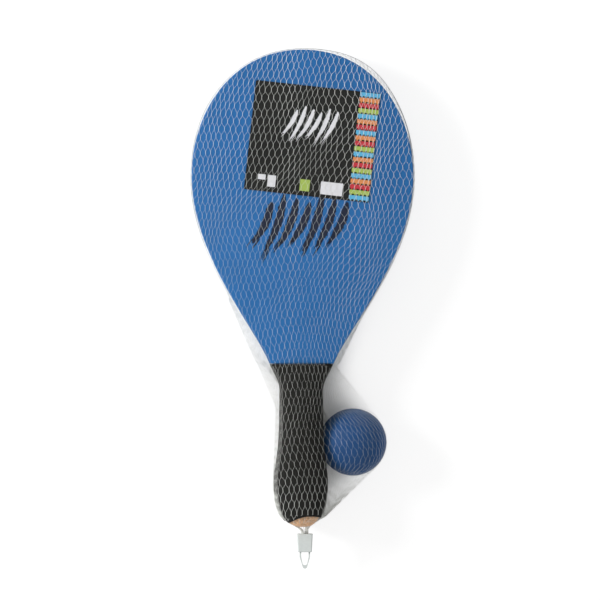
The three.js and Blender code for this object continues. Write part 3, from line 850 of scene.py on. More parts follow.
@dataclass(frozen=True)
class Ball:
    """The hollow rubber ball, with the fine line of its moulding seam."""

    shop: Workshop
    diameter: float = 58.0
    seam_depth: float = 0.25
    seam_half: float = 0.5
    sides: int = 96
    steps: int = 64
    sharp: float = 60.0
    cups: tuple[str, str] = ("ball_front_cup", "ball_rear_cup")

    @property
    def centre(self) -> np.ndarray:
        """The middle of the CAD ball, in the pair's frame."""
        lows, highs = zip(*(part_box(node) for node in self.cups))
        return self.shop.pair.lift((np.min(lows, axis=0) + np.max(highs, axis=0))[None, :] / 2)[0]

    def build(self) -> bpy.types.Object:
        """Make the whole ball as one skin.

        Returns:
            The piece.
        """
        radius = self.diameter / 2
        seam = self.seam_half / radius
        turns = np.linspace(-math.pi / 2, math.pi / 2, self.steps)[1:-1]
        turns = np.sort(np.concatenate([turns[np.abs(turns) > seam], [-seam, 0.0, seam]]))
        around = np.linspace(0, 2 * math.pi, self.sides, endpoint=False)
        rings = []
        for turn in turns:
            r = radius - (self.seam_depth if abs(turn) < seam / 2 else 0.0)
            wide = r * math.cos(turn)
            level = np.full(self.sides, r * math.sin(turn))
            ring = np.column_stack([wide * np.cos(around), wide * np.sin(around), level])
            rings.append(ring + self.centre)
        shell = Shell()
        shell.loft(np.array(rings))
        return self.shop.piece("ball", shell, [Look.RUBBER], "ball_rubber", self.cups, self.sharp)


@dataclass(frozen=True)
class BrushStroke:
    """One dry brush stroke from a start to an end, in X and Y.

    The shares are of its length for what lies along it and of its width for what lies across.
    """

    start: tuple[float, float]
    end: tuple[float, float]
    width: float
    steps: int = 46
    bristles: int = 4
    loose_start_shares: tuple[float, float] = (0.75, 0.95)
    loose_end_shares: tuple[float, float] = (1.03, 1.2)
    loose_shift_share: float = 0.38
    loose_width_share: float = 0.12
    blunt_share: float = 0.02
    thinning_share: float = 0.35
    bend_share: float = 0.35
    uneven_share: float = 0.07

    def strips(self, rng: np.random.Generator) -> list[np.ndarray]:
        """Draw the stroke and the bristle marks at its ragged end.

        Args:
            rng: where its unevenness comes from.

        Returns:
            Closed outlines in X and Y.
        """
        a, b = np.array(self.start), np.array(self.end)
        length = float(np.linalg.norm(b - a))
        ahead = (b - a) / length
        across = np.array([-ahead[1], ahead[0]])
        marks = [(0.0, 1.0, 0.0, 1.0)]
        for _ in range(self.bristles):
            start = rng.uniform(*self.loose_start_shares)
            end = rng.uniform(*self.loose_end_shares)
            shift = rng.uniform(-self.loose_shift_share, self.loose_shift_share)
            marks.append((start, end, shift, self.loose_width_share))
        outlines = []
        for low, high, shift, share in marks:
            t = np.linspace(low, high, self.steps)
            local = (t - low) / (high - low)
            body = np.sqrt(np.sin(math.pi * np.clip(local, self.blunt_share, 1.0 - self.blunt_share)))
            half = self.width / 2 * share * body * (1.0 - self.thinning_share * local)
            wobble = np.abs(rng.normal(0.0, self.uneven_share, (2, self.steps)) * self.width * share)
            middle = shift * self.width + self.width * self.bend_share * np.sin(math.pi * t)
            line = a + ahead * (t * length)[:, None]
            upper = line + across * (middle + half + wobble[0])[:, None]
            lower = line + across * (middle - half - wobble[1])[:, None]
            outlines.append(np.concatenate([lower, upper[::-1]]))
        return outlines


@dataclass(frozen=True)
class Slashes:
    """A row of slanted brush slashes of three lengths, a plain ornament."""

    centre: tuple[float, float]
    size: tuple[float, float]
    count: int
    brush: float
    reach_shares: tuple[float, float, float] = (0.42, 0.58, 0.5)
    lean_share: float = 0.2

    def outlines(self, rng: np.random.Generator) -> list[np.ndarray]:
        """Draw the row.

        Args:
            rng: where the strokes' unevenness comes from.

        Returns:
            Closed outlines in X and Y.
        """
        long, tall = self.size
        made = []
        for i in range(self.count):
            x = self.centre[0] + long * ((i + 0.5) / self.count - 0.5)
            reach = tall * self.reach_shares[i % 3]
            lean = tall * self.lean_share
            top = (x + lean, self.centre[1] + reach)
            foot = (x - lean, self.centre[1] - reach)
            made += BrushStroke(top, foot, self.brush).strips(rng)
        return made


@dataclass(frozen=True)
class Card:
    """The card on the front blade: a column of coloured bars and a plain brush ornament.

    A panel's box is its left, low, right and high side, from the card's middle and foot, and 0 for
    white or 1 for green.
    """

    shop: Workshop
    width: float = 108.0
    height: float = 94.8
    turn: float = math.radians(-6.35)
    offset: tuple[float, float] = (8.4, 29.2)
    standoff: float = 0.3
    thickness: float = 0.5
    ink: float = 0.05
    bar_width: float = 17.2
    bars: str = "corgcorcorgcorgcorgc"
    side_margin: float = 0.3
    end_margin: float = 0.4
    bar_share: float = 0.72
    comb_share: float = 0.97
    teeth: int = 5
    tooth_share: float = 0.35
    panel_boxes: tuple[tuple[float, float, float, float, int], ...] = (
        (11.5, 3.0, 30.5, 14.0, 0), (-6.5, 4.0, 2.0, 14.0, 1), (-43.0, 10.0, -36.5, 14.5, 0),
        (-34.5, 4.5, -27.5, 14.5, 0),
    )
    marks: Slashes = Slashes((-3.0, 15.0), (42.0, 25.0), 6, 3.8)

    def put(self, outline: np.ndarray) -> np.ndarray:
        """An outline on the card, in the pair's frame."""
        return np.column_stack(turned(*outline.T, self.turn)) + np.array(self.offset)

    def print_on(self, shell: Shell, outline: np.ndarray, look: int = 0) -> None:
        """Add a layer of ink over an outline on the card."""
        top = self.shop.pair.face + self.standoff + self.thickness
        shell.slab(self.put(outline), top, top + self.ink, look)

    def box(self, shell: Shell, low: tuple[float, float], high: tuple[float, float], look: int) -> None:
        """Add one printed rectangle, between two corners on the card."""
        self.print_on(shell, np.array([low, (high[0], low[1]), high, (low[0], high[1])]), look)

    def stripes(self) -> bpy.types.Object:
        """Print the column of bars, each with a comb of short teeth under it.

        Returns:
            The piece.
        """
        shell = Shell()
        looks = {"c": Look.CYAN, "o": Look.ORANGE, "r": Look.RED, "g": Look.GREEN}
        right = self.width / 2 - self.side_margin
        left = right - self.bar_width
        step = self.bar_width / self.teeth
        pitch = (self.height - 2 * self.end_margin) / len(self.bars)
        for i, letter in enumerate(self.bars):
            look = list(looks).index(letter)
            top = self.height / 2 - self.end_margin - i * pitch
            foot = top - pitch * self.bar_share
            self.box(shell, (left, foot), (right, top), look)
            for k in range(self.teeth):
                start = left + step * (k + 0.5 - self.tooth_share / 2)
                end = start + step * self.tooth_share
                self.box(shell, (start, top - pitch * self.comb_share), (end, foot), look)
        return self.shop.piece("card_bars", shell, list(looks.values()), "card_print")

    def panels(self) -> bpy.types.Object:
        """Print the small plain panels along the card's foot.

        Returns:
            The piece.
        """
        shell = Shell()
        foot = -self.height / 2
        for left, low, right, high, look in self.panel_boxes:
            self.box(shell, (left, foot + low), (right, foot + high), look)
        return self.shop.piece("card_panels", shell, [Look.WHITE_INK, Look.GREEN], "card_print")

    def ornament(self, rng: np.random.Generator) -> bpy.types.Object:
        """Print white brush slashes on the card.

        Args:
            rng: where their unevenness comes from.

        Returns:
            The piece.
        """
        shell = Shell()
        for outline in self.marks.outlines(rng):
            self.print_on(shell, outline)
        return self.shop.piece("card_brush_marks", shell, [Look.WHITE_INK], "card_print")

    def build(self, rng: np.random.Generator) -> list[bpy.types.Object]:
        """Everything printed on the card."""
        return [self.stripes(), self.panels(), self.ornament(rng)]


@dataclass(frozen=True)
class BladeOrnament:
    """Navy brush slashes painted on the front blade."""

    shop: Workshop
    marks: Slashes = Slashes((-2.0, -41.0), (76.0, 42.0), 7, 7.4)
    ink: float = 0.05

    def build(self, rng: np.random.Generator) -> bpy.types.Object:
        """Paint the strokes as one thin layer of ink.

        Args:
            rng: where their unevenness comes from.

        Returns:
            The piece.
        """
        shell = Shell()
        face = self.shop.pair.face
        for outline in self.marks.outlines(rng):
            shell.slab(outline, face, face + self.ink)
        return self.shop.piece("front_blade_brush_marks", shell, [Look.INK], "blue_board")


# The net


class Contents:
    """What the net is drawn over: the edges of the pieces in it, cut across at any place."""

    def __init__(self, pair: Pair, pieces: Iterable[bpy.types.Object]) -> None:
        """Gather the edges of the pieces in the pair's frame.

        Args:
            pair: the two rackets.
            pieces: what lies in the net.
        """
        runs = []
        for piece in pieces:
            mesh = piece.data
            places = np.empty(len(mesh.vertices) * 3)
            mesh.vertices.foreach_get("co", places)
            ends = np.empty(len(mesh.edges) * 2, np.int64)
            mesh.edges.foreach_get("vertices", ends)
            runs.append(pair.lift(places.reshape(-1, 3))[ends.reshape(-1, 2)])
        self.starts, self.ends = np.concatenate(runs).transpose(1, 0, 2)

    def cut(self, y: float) -> np.ndarray:
        """Cut the pieces across the pair.

        Args:
            y: the place of the cut.

        Returns:
            Points in X and Z where the edges cross it.
        """
        a, b = self.starts, self.ends
        crossing = (a[:, 1] - y) * (b[:, 1] - y) <= 0
        a, b = a[crossing], b[crossing]
        run = b[:, 1] - a[:, 1]
        flat = np.abs(run) < TINY
        share = np.where(flat, 0.0, (y - a[:, 1]) / np.where(flat, 1.0, run))[:, None]
        points = a + (b - a) * share
        return np.concatenate([points, b[flat]])[:, [0, 2]]


@dataclass(frozen=True)
class Crease:
    """A line that the flattened net is folded along, beside the rackets."""

    start: tuple[float, float, float]
    end: tuple[float, float, float]

    def at(self, y: float) -> list[tuple[float, float]]:
        """Cut the line across.

        Args:
            y: the place of the cut.

        Returns:
            Its X and Z there, or nothing past its ends.
        """
        share = (y - self.start[1]) / (self.end[1] - self.start[1])
        x, _, z = (a + (b - a) * share for a, b in zip(self.start, self.end))
        return [(x, z)] if 0.0 <= share <= 1.0 else []


@dataclass
class Net:
    """The extruded tube of netting drawn over the set, strand by strand.

    Row places run down from 0 at the blades' widest line to the neck under the butts, and are
    negative over the blades' crowns. Strand numbers run from the left edge over the front to the
    right edge and back under the set.

    Lengths are in millimetres. A rise is a start and a run, and a spot is a middle and a width. The
    crowd spots have their strength before them, a wave has its size, turns and phase, and a sway its
    size, run and turns.
    """

    shop: Workshop
    ball: Ball
    contents: Contents
    quarter: int = 25
    row_pitch: float = 6.8
    bond_share: float = 0.44
    strand_by_row: tuple[tuple[float, float], ...] = (
        (-120.0, 0.096), (-10.0, 0.086), (60.0, 0.058), (115.0, 0.047), (190.0, 0.05), (245.0, 0.068),
        (280.0, 0.094), (300.0, 0.094), (308.0, 0.085),
    )
    clearance: float = 0.45
    rim_clearance: float = 0.8
    table_room: float = 0.05
    end_room: float = 0.3
    cell: float = 4.8
    handle_cell: float = 3.4
    cell_rise: tuple[float, float] = (20.0, 140.0)
    swing: float = 0.25
    numbers_to_cell: int = 4
    least_room: float = 0.5
    least_out: float = 1e-3
    bond_gap: float = 0.1
    face_inset: float = 0.5
    face_edge: float = 0.8
    handle_face_share: float = 0.93
    crowd_rise: tuple[float, float] = (-120.0, 60.0)
    crowd_spots: tuple[tuple[float, float, float], ...] = (
        (0.5, 61.0, 9.0), (0.25, -78.0, 14.0), (-0.16, 36.0, 14.0),
    )
    handle_crowd: float = 0.15
    handle_crowd_reach: float = 8.0
    handle_rise: tuple[float, float] = (140.0, 70.0)
    left_shift: float = 45.0
    left_shift_share: float = 0.19
    rear_shift_share: float = 0.33
    directions: int = 180
    ring_points: int = 720
    station_step: float = 1.5
    seam_start: float = 46.0
    seam: float = 0.28
    seam_stride: int = 4
    seam_sides: int = 6
    end_slack: float = 1.2
    top_slack: float = 3.2
    corner_slack: float = 6.4
    corner_spot: tuple[float, float] = (0.68, 0.11)
    slack_run: float = 0.2
    lip_height: float = 0.8
    lip_off: float = 1.0
    lip_reach_shares: tuple[float, float, float] = (0.8, 0.8, 0.0)
    crown_steps: int = 15
    crown_power: float = 1.5
    foot_width: float = 56.0
    foot_narrowing: float = 0.75
    foot_rise: tuple[float, float] = (60.0, 110.0)
    lift_off: float = 70.0
    butt_gap: float = 0.4
    neck_length: float = 6.6
    neck_offset: tuple[float, float] = (4.3, 2.1)
    neck_size: tuple[float, float] = (5.4, 3.0)
    neck_steps: int = 7
    neck_pull: float = 0.6
    tail: float = 5.0
    lean: tuple[float, float] = (0.05, 0.0)
    lean_reach: float = 75.0
    lean_middle_share: float = 0.19
    waves: tuple[tuple[float, int, float], ...] = ((2.4, 2, 0.8), (1.3, 5, 2.0), (0.5, 11, 0.0))
    sways: tuple[tuple[float, float, int], ...] = ((0.3, 17.0, 2), (0.2, 9.3, 7))
    jitter: tuple[float, float] = (0.08, 0.6)
    ball_fold: float = 4.0
    ball_fold_rise: tuple[float, float] = (0.4, 0.8)
    ball_spot: tuple[float, float] = (1.6, 0.45)
    ball_twist: float = 5.0
    ball_twist_rise: tuple[float, float] = (190.0, 80.0)
    ball_stretch: float = 0.5
    ball_stretch_rises: tuple[tuple[float, float], ...] = ((185.0, 20.0), (275.0, -20.0))
    left_span: tuple[tuple[float, float], ...] = ((-64.0, -104.0), (-22.8, -199.5), (-25.2, -272.0))
    right_span: tuple[tuple[float, float], ...] = ((85.6, -48.2), (29.7, -165.0))
    right_butt: tuple[float, float] = (17.5, -296.0)
    sharp: float = 80.0
    creases: list[Crease] = field(default_factory=list)

    @property
    def cells(self) -> int:
        """How many cells the tube has round it."""
        return 4 * self.quarter

    def tangent(self, point: tuple[float, float]) -> np.ndarray:
        """Find where a line from a point touches the ball on its right-hand side.

        Args:
            point: X and Y of the point.

        Returns:
            X and Y of the touch.
        """
        centre = self.ball.centre[:2]
        radius = self.ball.diameter / 2 + self.clearance
        away = np.array(point) - centre
        middle, spread = math.atan2(away[1], away[0]), math.acos(radius / np.linalg.norm(away))
        touches = [
            centre + radius * np.array([math.cos(turn), math.sin(turn)])
            for turn in (middle + spread, middle - spread)
        ]
        return max(touches, key=lambda p: p[0])

    def fold(self) -> None:
        """Work out the creases: left of the handles, and from the right edge round the ball."""
        runs = [*zip(self.left_span, self.left_span[1:]), self.right_span]
        self.creases += [Crease((*a, 0.0), (*b, 0.0)) for a, b in runs]
        for point in (self.right_span[1], self.right_butt):
            self.creases.append(Crease((*point, 0.0), (*self.tangent(point), self.ball.centre[2])))

    def held(self, y: float) -> np.ndarray:
        """Gather what the net has to go round at a place along Y.

        Args:
            y: the place.

        Returns:
            Points in X and Z.
        """
        r, pair = self.shop.pair.racket, self.shop.pair
        spans = [point for crease in self.creases for point in crease.at(y)]
        bridge = self.lift_off - r.taper
        full = -(r.taper + r.ramp)
        if full < y < bridge:
            share = (y - bridge) / (full - bridge)
            z = pair.face + (pair.half_pitch + r.handle / 2 - pair.face) * share
            half = (r.neck_width + (r.waist / 2 - r.neck_width) * share) / 2
            spans += [(half, z), (-half, z)]
        if y > full:
            z = pair.table(y) + pair.foot
            half = self.foot_width / 2 * (1.0 - self.foot_narrowing * float(rise(-y, *self.foot_rise)))
            spans += [(half, z), (-half, z)]
        return np.concatenate([self.contents.cut(y), np.reshape(spans, (-1, 2))])

    def hull(self, y: float) -> tuple[np.ndarray, np.ndarray]:
        """Draw the net's section at a place along Y.

        Args:
            y: the place.

        Returns:
            Its points in X and Z, evenly spaced from the left edge over the front, and back to the
            left edge, and their distances along it.
        """
        pair = self.shop.pair
        turns = np.linspace(math.pi, -math.pi, self.directions + 1)
        normal = np.column_stack([np.cos(turns), np.sin(turns)])
        side = self.rim_clearance * np.abs(normal[:, 0]) if y > -pair.racket.taper else 0.0
        reach = (self.held(y) @ normal.T).max(axis=0) + self.clearance + side
        a, b = reach[:-1], reach[1:]
        t, n = turns[:-1], turns[1:]
        step = math.sin(turns[1] - turns[0])
        x = (a * np.sin(n) - b * np.sin(t)) / step
        z = (b * np.cos(t) - a * np.cos(n)) / step
        loop = np.column_stack([x, np.maximum(z, pair.table(y) + pair.foot - self.clearance)])
        loop = np.concatenate([loop, loop[:1]])
        along = distances(loop)
        ring = points_at(np.linspace(0.0, along[-1], self.ring_points + 1), along, loop)[:-1]
        left = nearest(ring[:, 1], 0.0, ring[:, 0] < 0)
        share = min(self.left_shift / along[-1], self.left_shift_share)
        back = round(share * float(rise(-y, *self.handle_rise)) * self.ring_points)
        ring = np.roll(ring, back - left, axis=0)
        ring = np.concatenate([ring, ring[:1]])
        return ring, distances(ring)

    def crowding(self, x: np.ndarray, y: float) -> np.ndarray:
        """Tell how much closer than usual the strands run on the face.

        Args:
            x: places across the face.
            y: the place along the pair.

        Returns:
            Cells for each usual cell.
        """
        on_blade = rise(y, *self.crowd_rise)
        spots = sum(share * bell(x, middle, width) for share, middle, width in self.crowd_spots)
        to_right = self.handle_crowd * (1.0 - on_blade) * np.tanh(x / self.handle_crowd_reach)
        return 1.0 + on_blade * spots + to_right

    def spread(self, y: float) -> np.ndarray:
        """Spread the strands over a section.

        Args:
            y: the section's place.

        Returns:
            X and Z at each strand number, the first one's twice.
        """
        r = self.shop.pair.racket
        ring, along = self.hull(y)
        x, z = ring.T
        past_ball = abs(y - self.ball.centre[1]) / (self.ball.diameter / 2)
        fold = self.ball.centre[2] - self.ball_fold * float(1.0 - rise(past_ball, *self.ball_fold_rise))
        under = self.rear_shift_share * float(rise(-y, *self.handle_rise)) * float(x.max())
        front, right = nearest(x, 0.0, z > 0), nearest(z, fold, x > 0)
        bounds = [0, front, right, nearest(x, under, z < 0), len(ring) - 1]
        if y > -r.taper:
            face = float(r.blade_half(y)) - self.face_inset
        else:
            face = self.handle_face_share * float(r.sleeve_half(-r.taper - y))
        middle_x = (x[1:] + x[:-1]) / 2
        on_face = 1.0 - rise(np.abs(middle_x), face, self.face_edge)
        length = np.diff(along)
        cell = self.cell + (self.handle_cell - self.cell) * float(rise(-y, *self.cell_rise))
        face_cells = on_face * np.abs(np.diff(x)) / cell * self.crowding(middle_x, y)
        rest = (1.0 - on_face) * length
        numbers = np.zeros(len(ring))
        for q, (a, b) in enumerate(zip(bounds, bounds[1:])):
            fixed, free = face_cells[a:b], rest[a:b]
            spare = self.quarter - fixed.sum()
            if min(spare, free.sum()) > self.least_room:
                steps = fixed + free * (spare / free.sum())
            else:
                steps = length[a:b] * (self.quarter / length[a:b].sum())
            numbers[a + 1 : b + 1] = q * self.quarter + np.cumsum(steps)
        wanted = np.linspace(0, self.cells, self.numbers_to_cell * self.cells + 1)
        return points_at(wanted, numbers, ring)

    def body(self) -> tuple[np.ndarray, np.ndarray]:
        """Shape the net's skin from the widest line to the tail.

        Returns:
            Row places, and points by row and strand number.
        """
        butt = -self.shop.pair.racket.butt
        last, end = butt - self.butt_gap, butt + self.neck_length
        rows = [*np.arange(0.0, last, self.station_step), last]
        sections = [self.spread(-row) for row in rows]
        drawn = sections[-1]
        turns = math.pi - np.linspace(0, 2 * math.pi, len(drawn))
        wide, deep = (size / 2 for size in self.neck_size)
        for share in np.linspace(0.0, 1.0, self.neck_steps + 1)[1:]:
            middle = self.neck_offset[0] + (self.neck_offset[1] - self.neck_offset[0]) * share
            bundle = np.column_stack([middle + wide * np.cos(turns), deep * np.sin(turns)])
            pull = rise(share) ** self.neck_pull
            rows.append(last + (end - last) * share)
            sections.append(drawn * (1 - pull) + bundle * pull)
        rows.append(end + self.tail)
        sections.append(sections[-1])
        skin = np.array(sections)
        levels = np.broadcast_to(-np.array(rows)[:, None], skin.shape[:2])
        return np.array(rows), np.stack([skin[:, :, 0], levels, skin[:, :, 1]], axis=-1)

    def slack(self, share: np.ndarray) -> np.ndarray:
        """Tell how far the seam stands off the blades' edge.

        Args:
            share: shares of the way over the tips, from left to right.

        Returns:
            The distance at each.
        """
        ends = rise(share, 0.0, self.slack_run) * rise(share, 1.0, -self.slack_run)
        corner = bell(share, *self.corner_spot) * (self.corner_slack - self.top_slack)
        return self.end_slack + ends * (self.top_slack - self.end_slack) + corner

    def crown(self, base: np.ndarray) -> tuple[np.ndarray, np.ndarray, np.ndarray, np.ndarray]:
        """Shape the net's skin over the blades' crowns, from the widest line up to the seam.

        Args:
            base: the section at the widest line, by strand number.

        Returns:
            Row places, points by row and strand number, each strand's reach up to the seam, and the
            seam's points by strand number over the front half.
        """
        edge = self.shop.pair.racket.outline()
        edge = edge[edge[:, 1] >= 0]
        line = np.concatenate([edge * (-1.0, 1.0), edge[-2::-1]])
        along = distances(line)
        outward = left_of(np.gradient(line, axis=0))
        outward *= np.sign((outward * line).sum(axis=1))[:, None]
        last = len(base) - 1
        top = (len(line) - 1) // 2
        places = np.linspace(self.seam_start, along[-1] - self.seam_start, last // 2 + 1)
        stand = self.slack(places / along[-1])
        shares = np.linspace(0, 1, self.crown_steps + 1)[1:]
        paths = []
        for i, (x, _, z) in enumerate(base):
            k = min(i, last - i)
            side = slice(0, top + 1) if k < last / 4 else slice(top, None)
            lip = float(np.interp(x, line[side, 0], along[side]))
            start = np.array([x, 0.0, z])
            path = [start]
            if min(lip, along[-1] - lip) > self.lip_off:
                z = math.copysign(self.shop.pair.face + self.lip_height, z)
                over = np.array([*points_at(lip, along, line), z])
                path += [start + (over - start) * self.lip_reach_shares, over]
            ways = lip + (places[k] - lip) * shares
            off = self.lip_off + (stand[k] - self.lip_off) * shares**self.crown_power
            rim = points_at(ways, along, line) + points_at(ways, along, outward) * off[:, None]
            paths.append(np.array([*path, *np.column_stack([rim, z * (1 - shares)])]))
        reaches = np.array([distances(path)[-1] for path in paths])
        rows = np.arange(0.0, reaches.max() + self.station_step, self.station_step)
        skin = np.stack([points_at(rows, distances(path), path) for path in paths], axis=1)
        seam = points_at(places, along, line) + points_at(places, along, outward) * stand[:, None]
        return -rows[:0:-1], skin[:0:-1], reaches, np.column_stack([seam, np.zeros(len(seam))])

    def turn(self, number: np.ndarray) -> np.ndarray:
        """A strand number as a turn round the net, in radians."""
        return 2 * math.pi * number / self.cells

    def wave(self, number: np.ndarray) -> np.ndarray:
        """How far the rows run up and down across the net, in millimetres."""
        turn = self.turn(number)
        return sum(size * np.sin(times * turn + phase) for size, times, phase in self.waves)

    def near_ball(self, number: Any) -> Any:
        """1 for the strand numbers that run over the ball's middle, falling to 0 on both sides."""
        return bell(number / self.quarter, *self.ball_spot)

    def drift(self, number: np.ndarray, row: np.ndarray) -> np.ndarray:
        """Tell how far the strands have wandered round the net.

        Args:
            number: strand numbers.
            row: a row place for each.

        Returns:
            The way of each, in cells.
        """
        turn = self.turn(number)
        on_left = 0.5 + 0.5 * np.cos(turn - 2 * math.pi * self.lean_middle_share)
        lean = self.lean[1] + (self.lean[0] - self.lean[1]) * on_left
        sway = sum(size * np.sin(row / run + times * turn) for size, run, times in self.sways)
        twist = self.ball_twist * self.near_ball(number) * rise(row, *self.ball_twist_rise)
        return sway + twist - lean * self.lean_reach * np.tanh(row / self.lean_reach)

    @staticmethod
    def chance(number: np.ndarray, row: np.ndarray, turn: float) -> np.ndarray:
        """An even spread from -1 to 1 that depends only on the bond's number and row."""
        mixed = np.sin(number * SCATTER[0] + row * SCATTER[1] + turn) * SCATTER[2]
        return 2.0 * (mixed - np.floor(mixed)) - 1.0

    def strand(
        self, i: int, rows: np.ndarray, skin: np.ndarray, reaches: np.ndarray
    ) -> tuple[np.ndarray, np.ndarray]:
        """Lead one strand over the net's skin, from bond to bond.

        Args:
            i: which strand, two to a cell.
            rows: the skin's row places.
            skin: its points by row and strand number, four numbers to a cell.
            reaches: how far each number's path reaches over the crowns.

        Returns:
            Points of its centre line and its radius at each.
        """
        bonds = np.arange(
            math.floor(rows[0] / self.row_pitch) - 1, math.ceil(rows[-1] / self.row_pitch) + 2
        )
        home = i / 2 + self.swing
        side = np.where((i + bonds) % 2 == 0, self.swing, -self.swing)
        partner = home + side
        aside, along = (
            self.jitter[k] * self.chance(np.mod(partner, self.cells), bonds, float(k)) for k in (0, 1)
        )
        centre = bonds * self.row_pitch + self.wave(partner) + along
        half = self.row_pitch * self.bond_share / 2
        row = np.column_stack([centre - half, centre + half]).ravel()
        own = np.repeat(home + side * (1 - self.bond_gap) + aside, 2)
        at = np.mod(own + self.drift(np.repeat(partner, 2), row), self.cells)
        limit = np.interp(at * self.numbers_to_cell, np.arange(len(reaches)), reaches)
        kept = (row > rows[0]) & (row < rows[-1])
        row, at, limit = row[kept], at[kept], limit[kept]
        first = int(np.argmax(-row < limit - self.end_room))
        row = np.concatenate([[-limit[first]], row[first:], rows[-1:]])
        at = np.concatenate([at[first : first + 1], at[first:], at[-1:]])
        line = self.sample(rows, skin, row, at * self.numbers_to_cell)
        radii = self.radii(home, row)
        line[:, 2] = np.maximum(line[:, 2], self.shop.pair.table(line[:, 1]) + radii + self.table_room)
        return line, radii

    @staticmethod
    def sample(rows: np.ndarray, skin: np.ndarray, row: np.ndarray, number: np.ndarray) -> np.ndarray:
        """Read the skin between its points.

        Args:
            rows: the skin's row places.
            skin: its points by row and strand number.
            row: row places to read at.
            number: a strand number for each.

        Returns:
            A point for each.
        """
        i = np.interp(row, rows, np.arange(len(rows)))
        i0 = np.clip(np.floor(i).astype(int), 0, len(rows) - 2)
        j0 = np.clip(np.floor(number).astype(int), 0, skin.shape[1] - 2)
        u, v = (i - i0)[:, None], (number - j0)[:, None]
        top, low = (skin[k, j0] * (1 - v) + skin[k, j0 + 1] * v for k in (i0, i0 + 1))
        return top * (1 - u) + low * u

    def tube(self, line: np.ndarray, radii: np.ndarray, sides: int = 4) -> np.ndarray:
        """Shape a thin tube along a line.

        Args:
            line: its points.
            radii: its radius at each.
            sides: how many sides it has.

        Returns:
            Its rings.
        """
        ahead = unit(np.gradient(line, axis=0))
        out = line * (1.0, 0.0, 1.0) + (-self.neck_offset[1], 0.0, self.least_out)
        side = unit(np.cross(ahead, out))
        up = np.cross(side, ahead)
        turns = np.linspace(0, 2 * math.pi, sides, endpoint=False) + math.pi / sides
        rings = [line + (side * math.cos(t) + up * math.sin(t)) * radii[:, None] for t in turns]
        return np.stack(rings, axis=1)

    def radii(self, number: float, row: np.ndarray) -> np.ndarray:
        """Size a strand, thinner where the net is stretched.

        Args:
            number: the strand's number.
            row: places along it.

        Returns:
            Its radius at each.
        """
        on_ball = math.prod(rise(row, *run) for run in self.ball_stretch_rises)
        thinned = 1.0 - self.ball_stretch * self.near_ball(number) * on_ball
        return np.interp(row, *zip(*self.strand_by_row)) * thinned

    def build(self) -> list[bpy.types.Object]:
        """Make the net in two halves, front and rear, and the seam that closes it over the tips.

        Returns:
            The three pieces.
        """
        self.fold()
        low_rows, low_skin = self.body()
        top_rows, top_skin, reaches, seam = self.crown(low_skin[0])
        rows, skin = np.concatenate([top_rows, low_rows]), np.concatenate([top_skin, low_skin])
        front, rear, closing = Shell(), Shell(), Shell()
        strands = 2 * self.cells
        for i in range(strands):
            shell = front if i < strands // 2 else rear
            shell.loft(self.tube(*self.strand(i, rows, skin, reaches)))
        spine = seam[::self.seam_stride]
        closing.loft(self.tube(spine, np.full(len(spine), self.seam), self.seam_sides))
        made = (
            ("net_front_strands", front, ["net_tube"]), ("net_rear_strands", rear, ["net_tube"]),
            ("net_top_seam", closing, []),
        )
        return [
            self.shop.piece(name, shell, [Look.NET], "net_plastic", nodes, self.sharp)
            for name, shell, nodes in made
        ]


# The studio


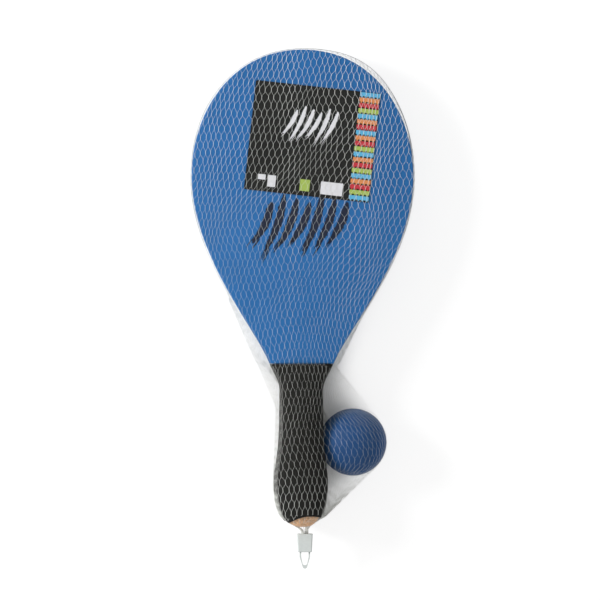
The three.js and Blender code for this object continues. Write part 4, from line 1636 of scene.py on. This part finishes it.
@dataclass(frozen=True)
class Studio:
    """Floor, light and camera of the photograph."""

    floor_size: float = 6.0
    floor_colour: tuple[float, float, float] = (0.97, 0.97, 0.97)
    floor_roughness: float = 0.9
    floor_specular: float = 0.1
    glow_share: float = 0.72
    glow_strength: float = 1.12
    shade_recess_reach: float = 0.09
    shade_recess_shares: tuple[float, float] = (0.33, 0.53)
    world_strength: float = 0.58
    frame_width: float = 0.516
    frame_middle: tuple[float, float] = (-0.00215, -0.1066)
    plane_height: float = 0.045
    lens: float = 150.0
    sensor: float = 36.0
    far_clip: float = 20.0
    lamp_place: tuple[float, float, float] = (-1.35, 0.3, 0.95)
    lamp_aim: tuple[float, float, float] = (0.0, -0.1, 0.03)
    lamp_size: float = 0.5
    lamp_power: float = 27.0

    def floor(self) -> None:
        """Lay the plain pale floor, which keeps the set's shadow, with painted shade in recesses: its
        camera-only glow fades out where ambient occlusion finds the set close over it.
        """
        half = self.floor_size / 2
        mesh = bpy.data.meshes.new("floor")
        places = [(-half, -half, 0), (half, -half, 0), (half, half, 0), (-half, half, 0)]
        mesh.from_pydata(places, [], [(0, 1, 2, 3)])
        sheet = ShaderSheet("pale_floor")
        paint = {
            "Base Color": (*self.floor_colour, 1.0), "Roughness": self.floor_roughness,
            "Specular IOR Level": self.floor_specular,
        }
        matt = sheet.node("ShaderNodeBsdfPrincipled", {}, paint)
        light = {"Color": (1, 1, 1, 1), "Strength": self.glow_strength}
        glow = sheet.node("ShaderNodeEmission", {}, light)
        # Painted shade: ambient occlusion withholds the camera-only glow in recesses under and between the
        # pieces, so the floor there shows its darker lit shade while the open floor glows white.
        share = sheet.looked_at() * sheet.openness(self.shade_recess_reach).rise(*self.shade_recess_shares)
        sockets = {0: share * self.glow_share, 1: matt.outputs[0], 2: glow.outputs[0]}
        mixed = sheet.node("ShaderNodeMixShader", {}, sockets)
        sheet.node("ShaderNodeOutputMaterial", {}, {"Surface": mixed.outputs[0]})
        mesh.materials.append(sheet.material)
        put_in_scene("floor", mesh)

    def lamp(self) -> None:
        """Hang one square soft light on the left that looks at the set."""
        light = bpy.data.lights.new("left_lamp", "AREA")
        light.size = self.lamp_size
        light.energy = self.lamp_power
        made = put_in_scene("left_lamp", light)
        made.location = self.lamp_place
        aim = Vector(self.lamp_aim) - Vector(self.lamp_place)
        made.rotation_euler = aim.to_track_quat("-Z", "Y").to_euler()

    def sky(self) -> None:
        """Light the set evenly from all round with a light that looks white."""
        sheet = ShaderSheet.of_world("studio_light")
        strength = sheet.looked_at() * (1.0 - self.world_strength) + self.world_strength
        values = {"Color": (1.0, 1.0, 1.0, 1.0), "Strength": strength}
        background = sheet.node("ShaderNodeBackground", {}, values)
        sheet.node("ShaderNodeOutputWorld", {}, {"Surface": background.outputs[0]})

    def camera(self) -> None:
        """Put the camera straight above the set."""
        data = bpy.data.cameras.new("camera")
        data.lens = self.lens
        data.sensor_width = self.sensor
        data.clip_end = self.far_clip
        made = put_in_scene("camera", data)
        distance = self.frame_width * self.lens / self.sensor
        made.location = (*self.frame_middle, self.plane_height + distance)
        bpy.context.scene.camera = made

    def build(self) -> None:
        """Set the whole studio up."""
        self.camera()
        self.floor()
        self.sky()
        self.lamp()
        bpy.context.scene.view_settings.view_transform = "Standard"


def dress_nodes(frame: dict[str, Any], paints: Paints) -> None:
    """Give the CAD nodes that stay their finishes.

    Args:
        frame: the loaded CAD frame.
        paints: where the materials come from.
    """
    for node, look in (
        ("label_card", Look.CARD), ("clip_sleeve", Look.CLIP), ("clip_plug", Look.CLIP),
    ):
        mesh = frame["nodes"][node].data
        mesh.materials.clear()
        mesh.materials.append(paints.get(look))
        log.info("%s: dressed", node)


def main() -> None:
    """Build the set round its CAD frame."""
    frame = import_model()
    Studio().build()
    paints = Paints()
    shop = Workshop(Pair(), paints)
    rng = np.random.default_rng(BRUSH_SEED)
    inside = []
    for prefix, side in (("front_racket", 1), ("back_racket", -1)):
        inside += Racket(prefix, side, shop).build()
    ball = Ball(shop)
    inside.append(ball.build())
    inside.append(frame["nodes"]["label_card"])
    Card(shop).build(rng)
    BladeOrnament(shop).build(rng)
    dress_nodes(frame, paints)
    Net(shop, ball, Contents(shop.pair, inside)).build()


if __name__ == "__main__":
    logging.basicConfig(level=logging.INFO, format="%(message)s")
    main()
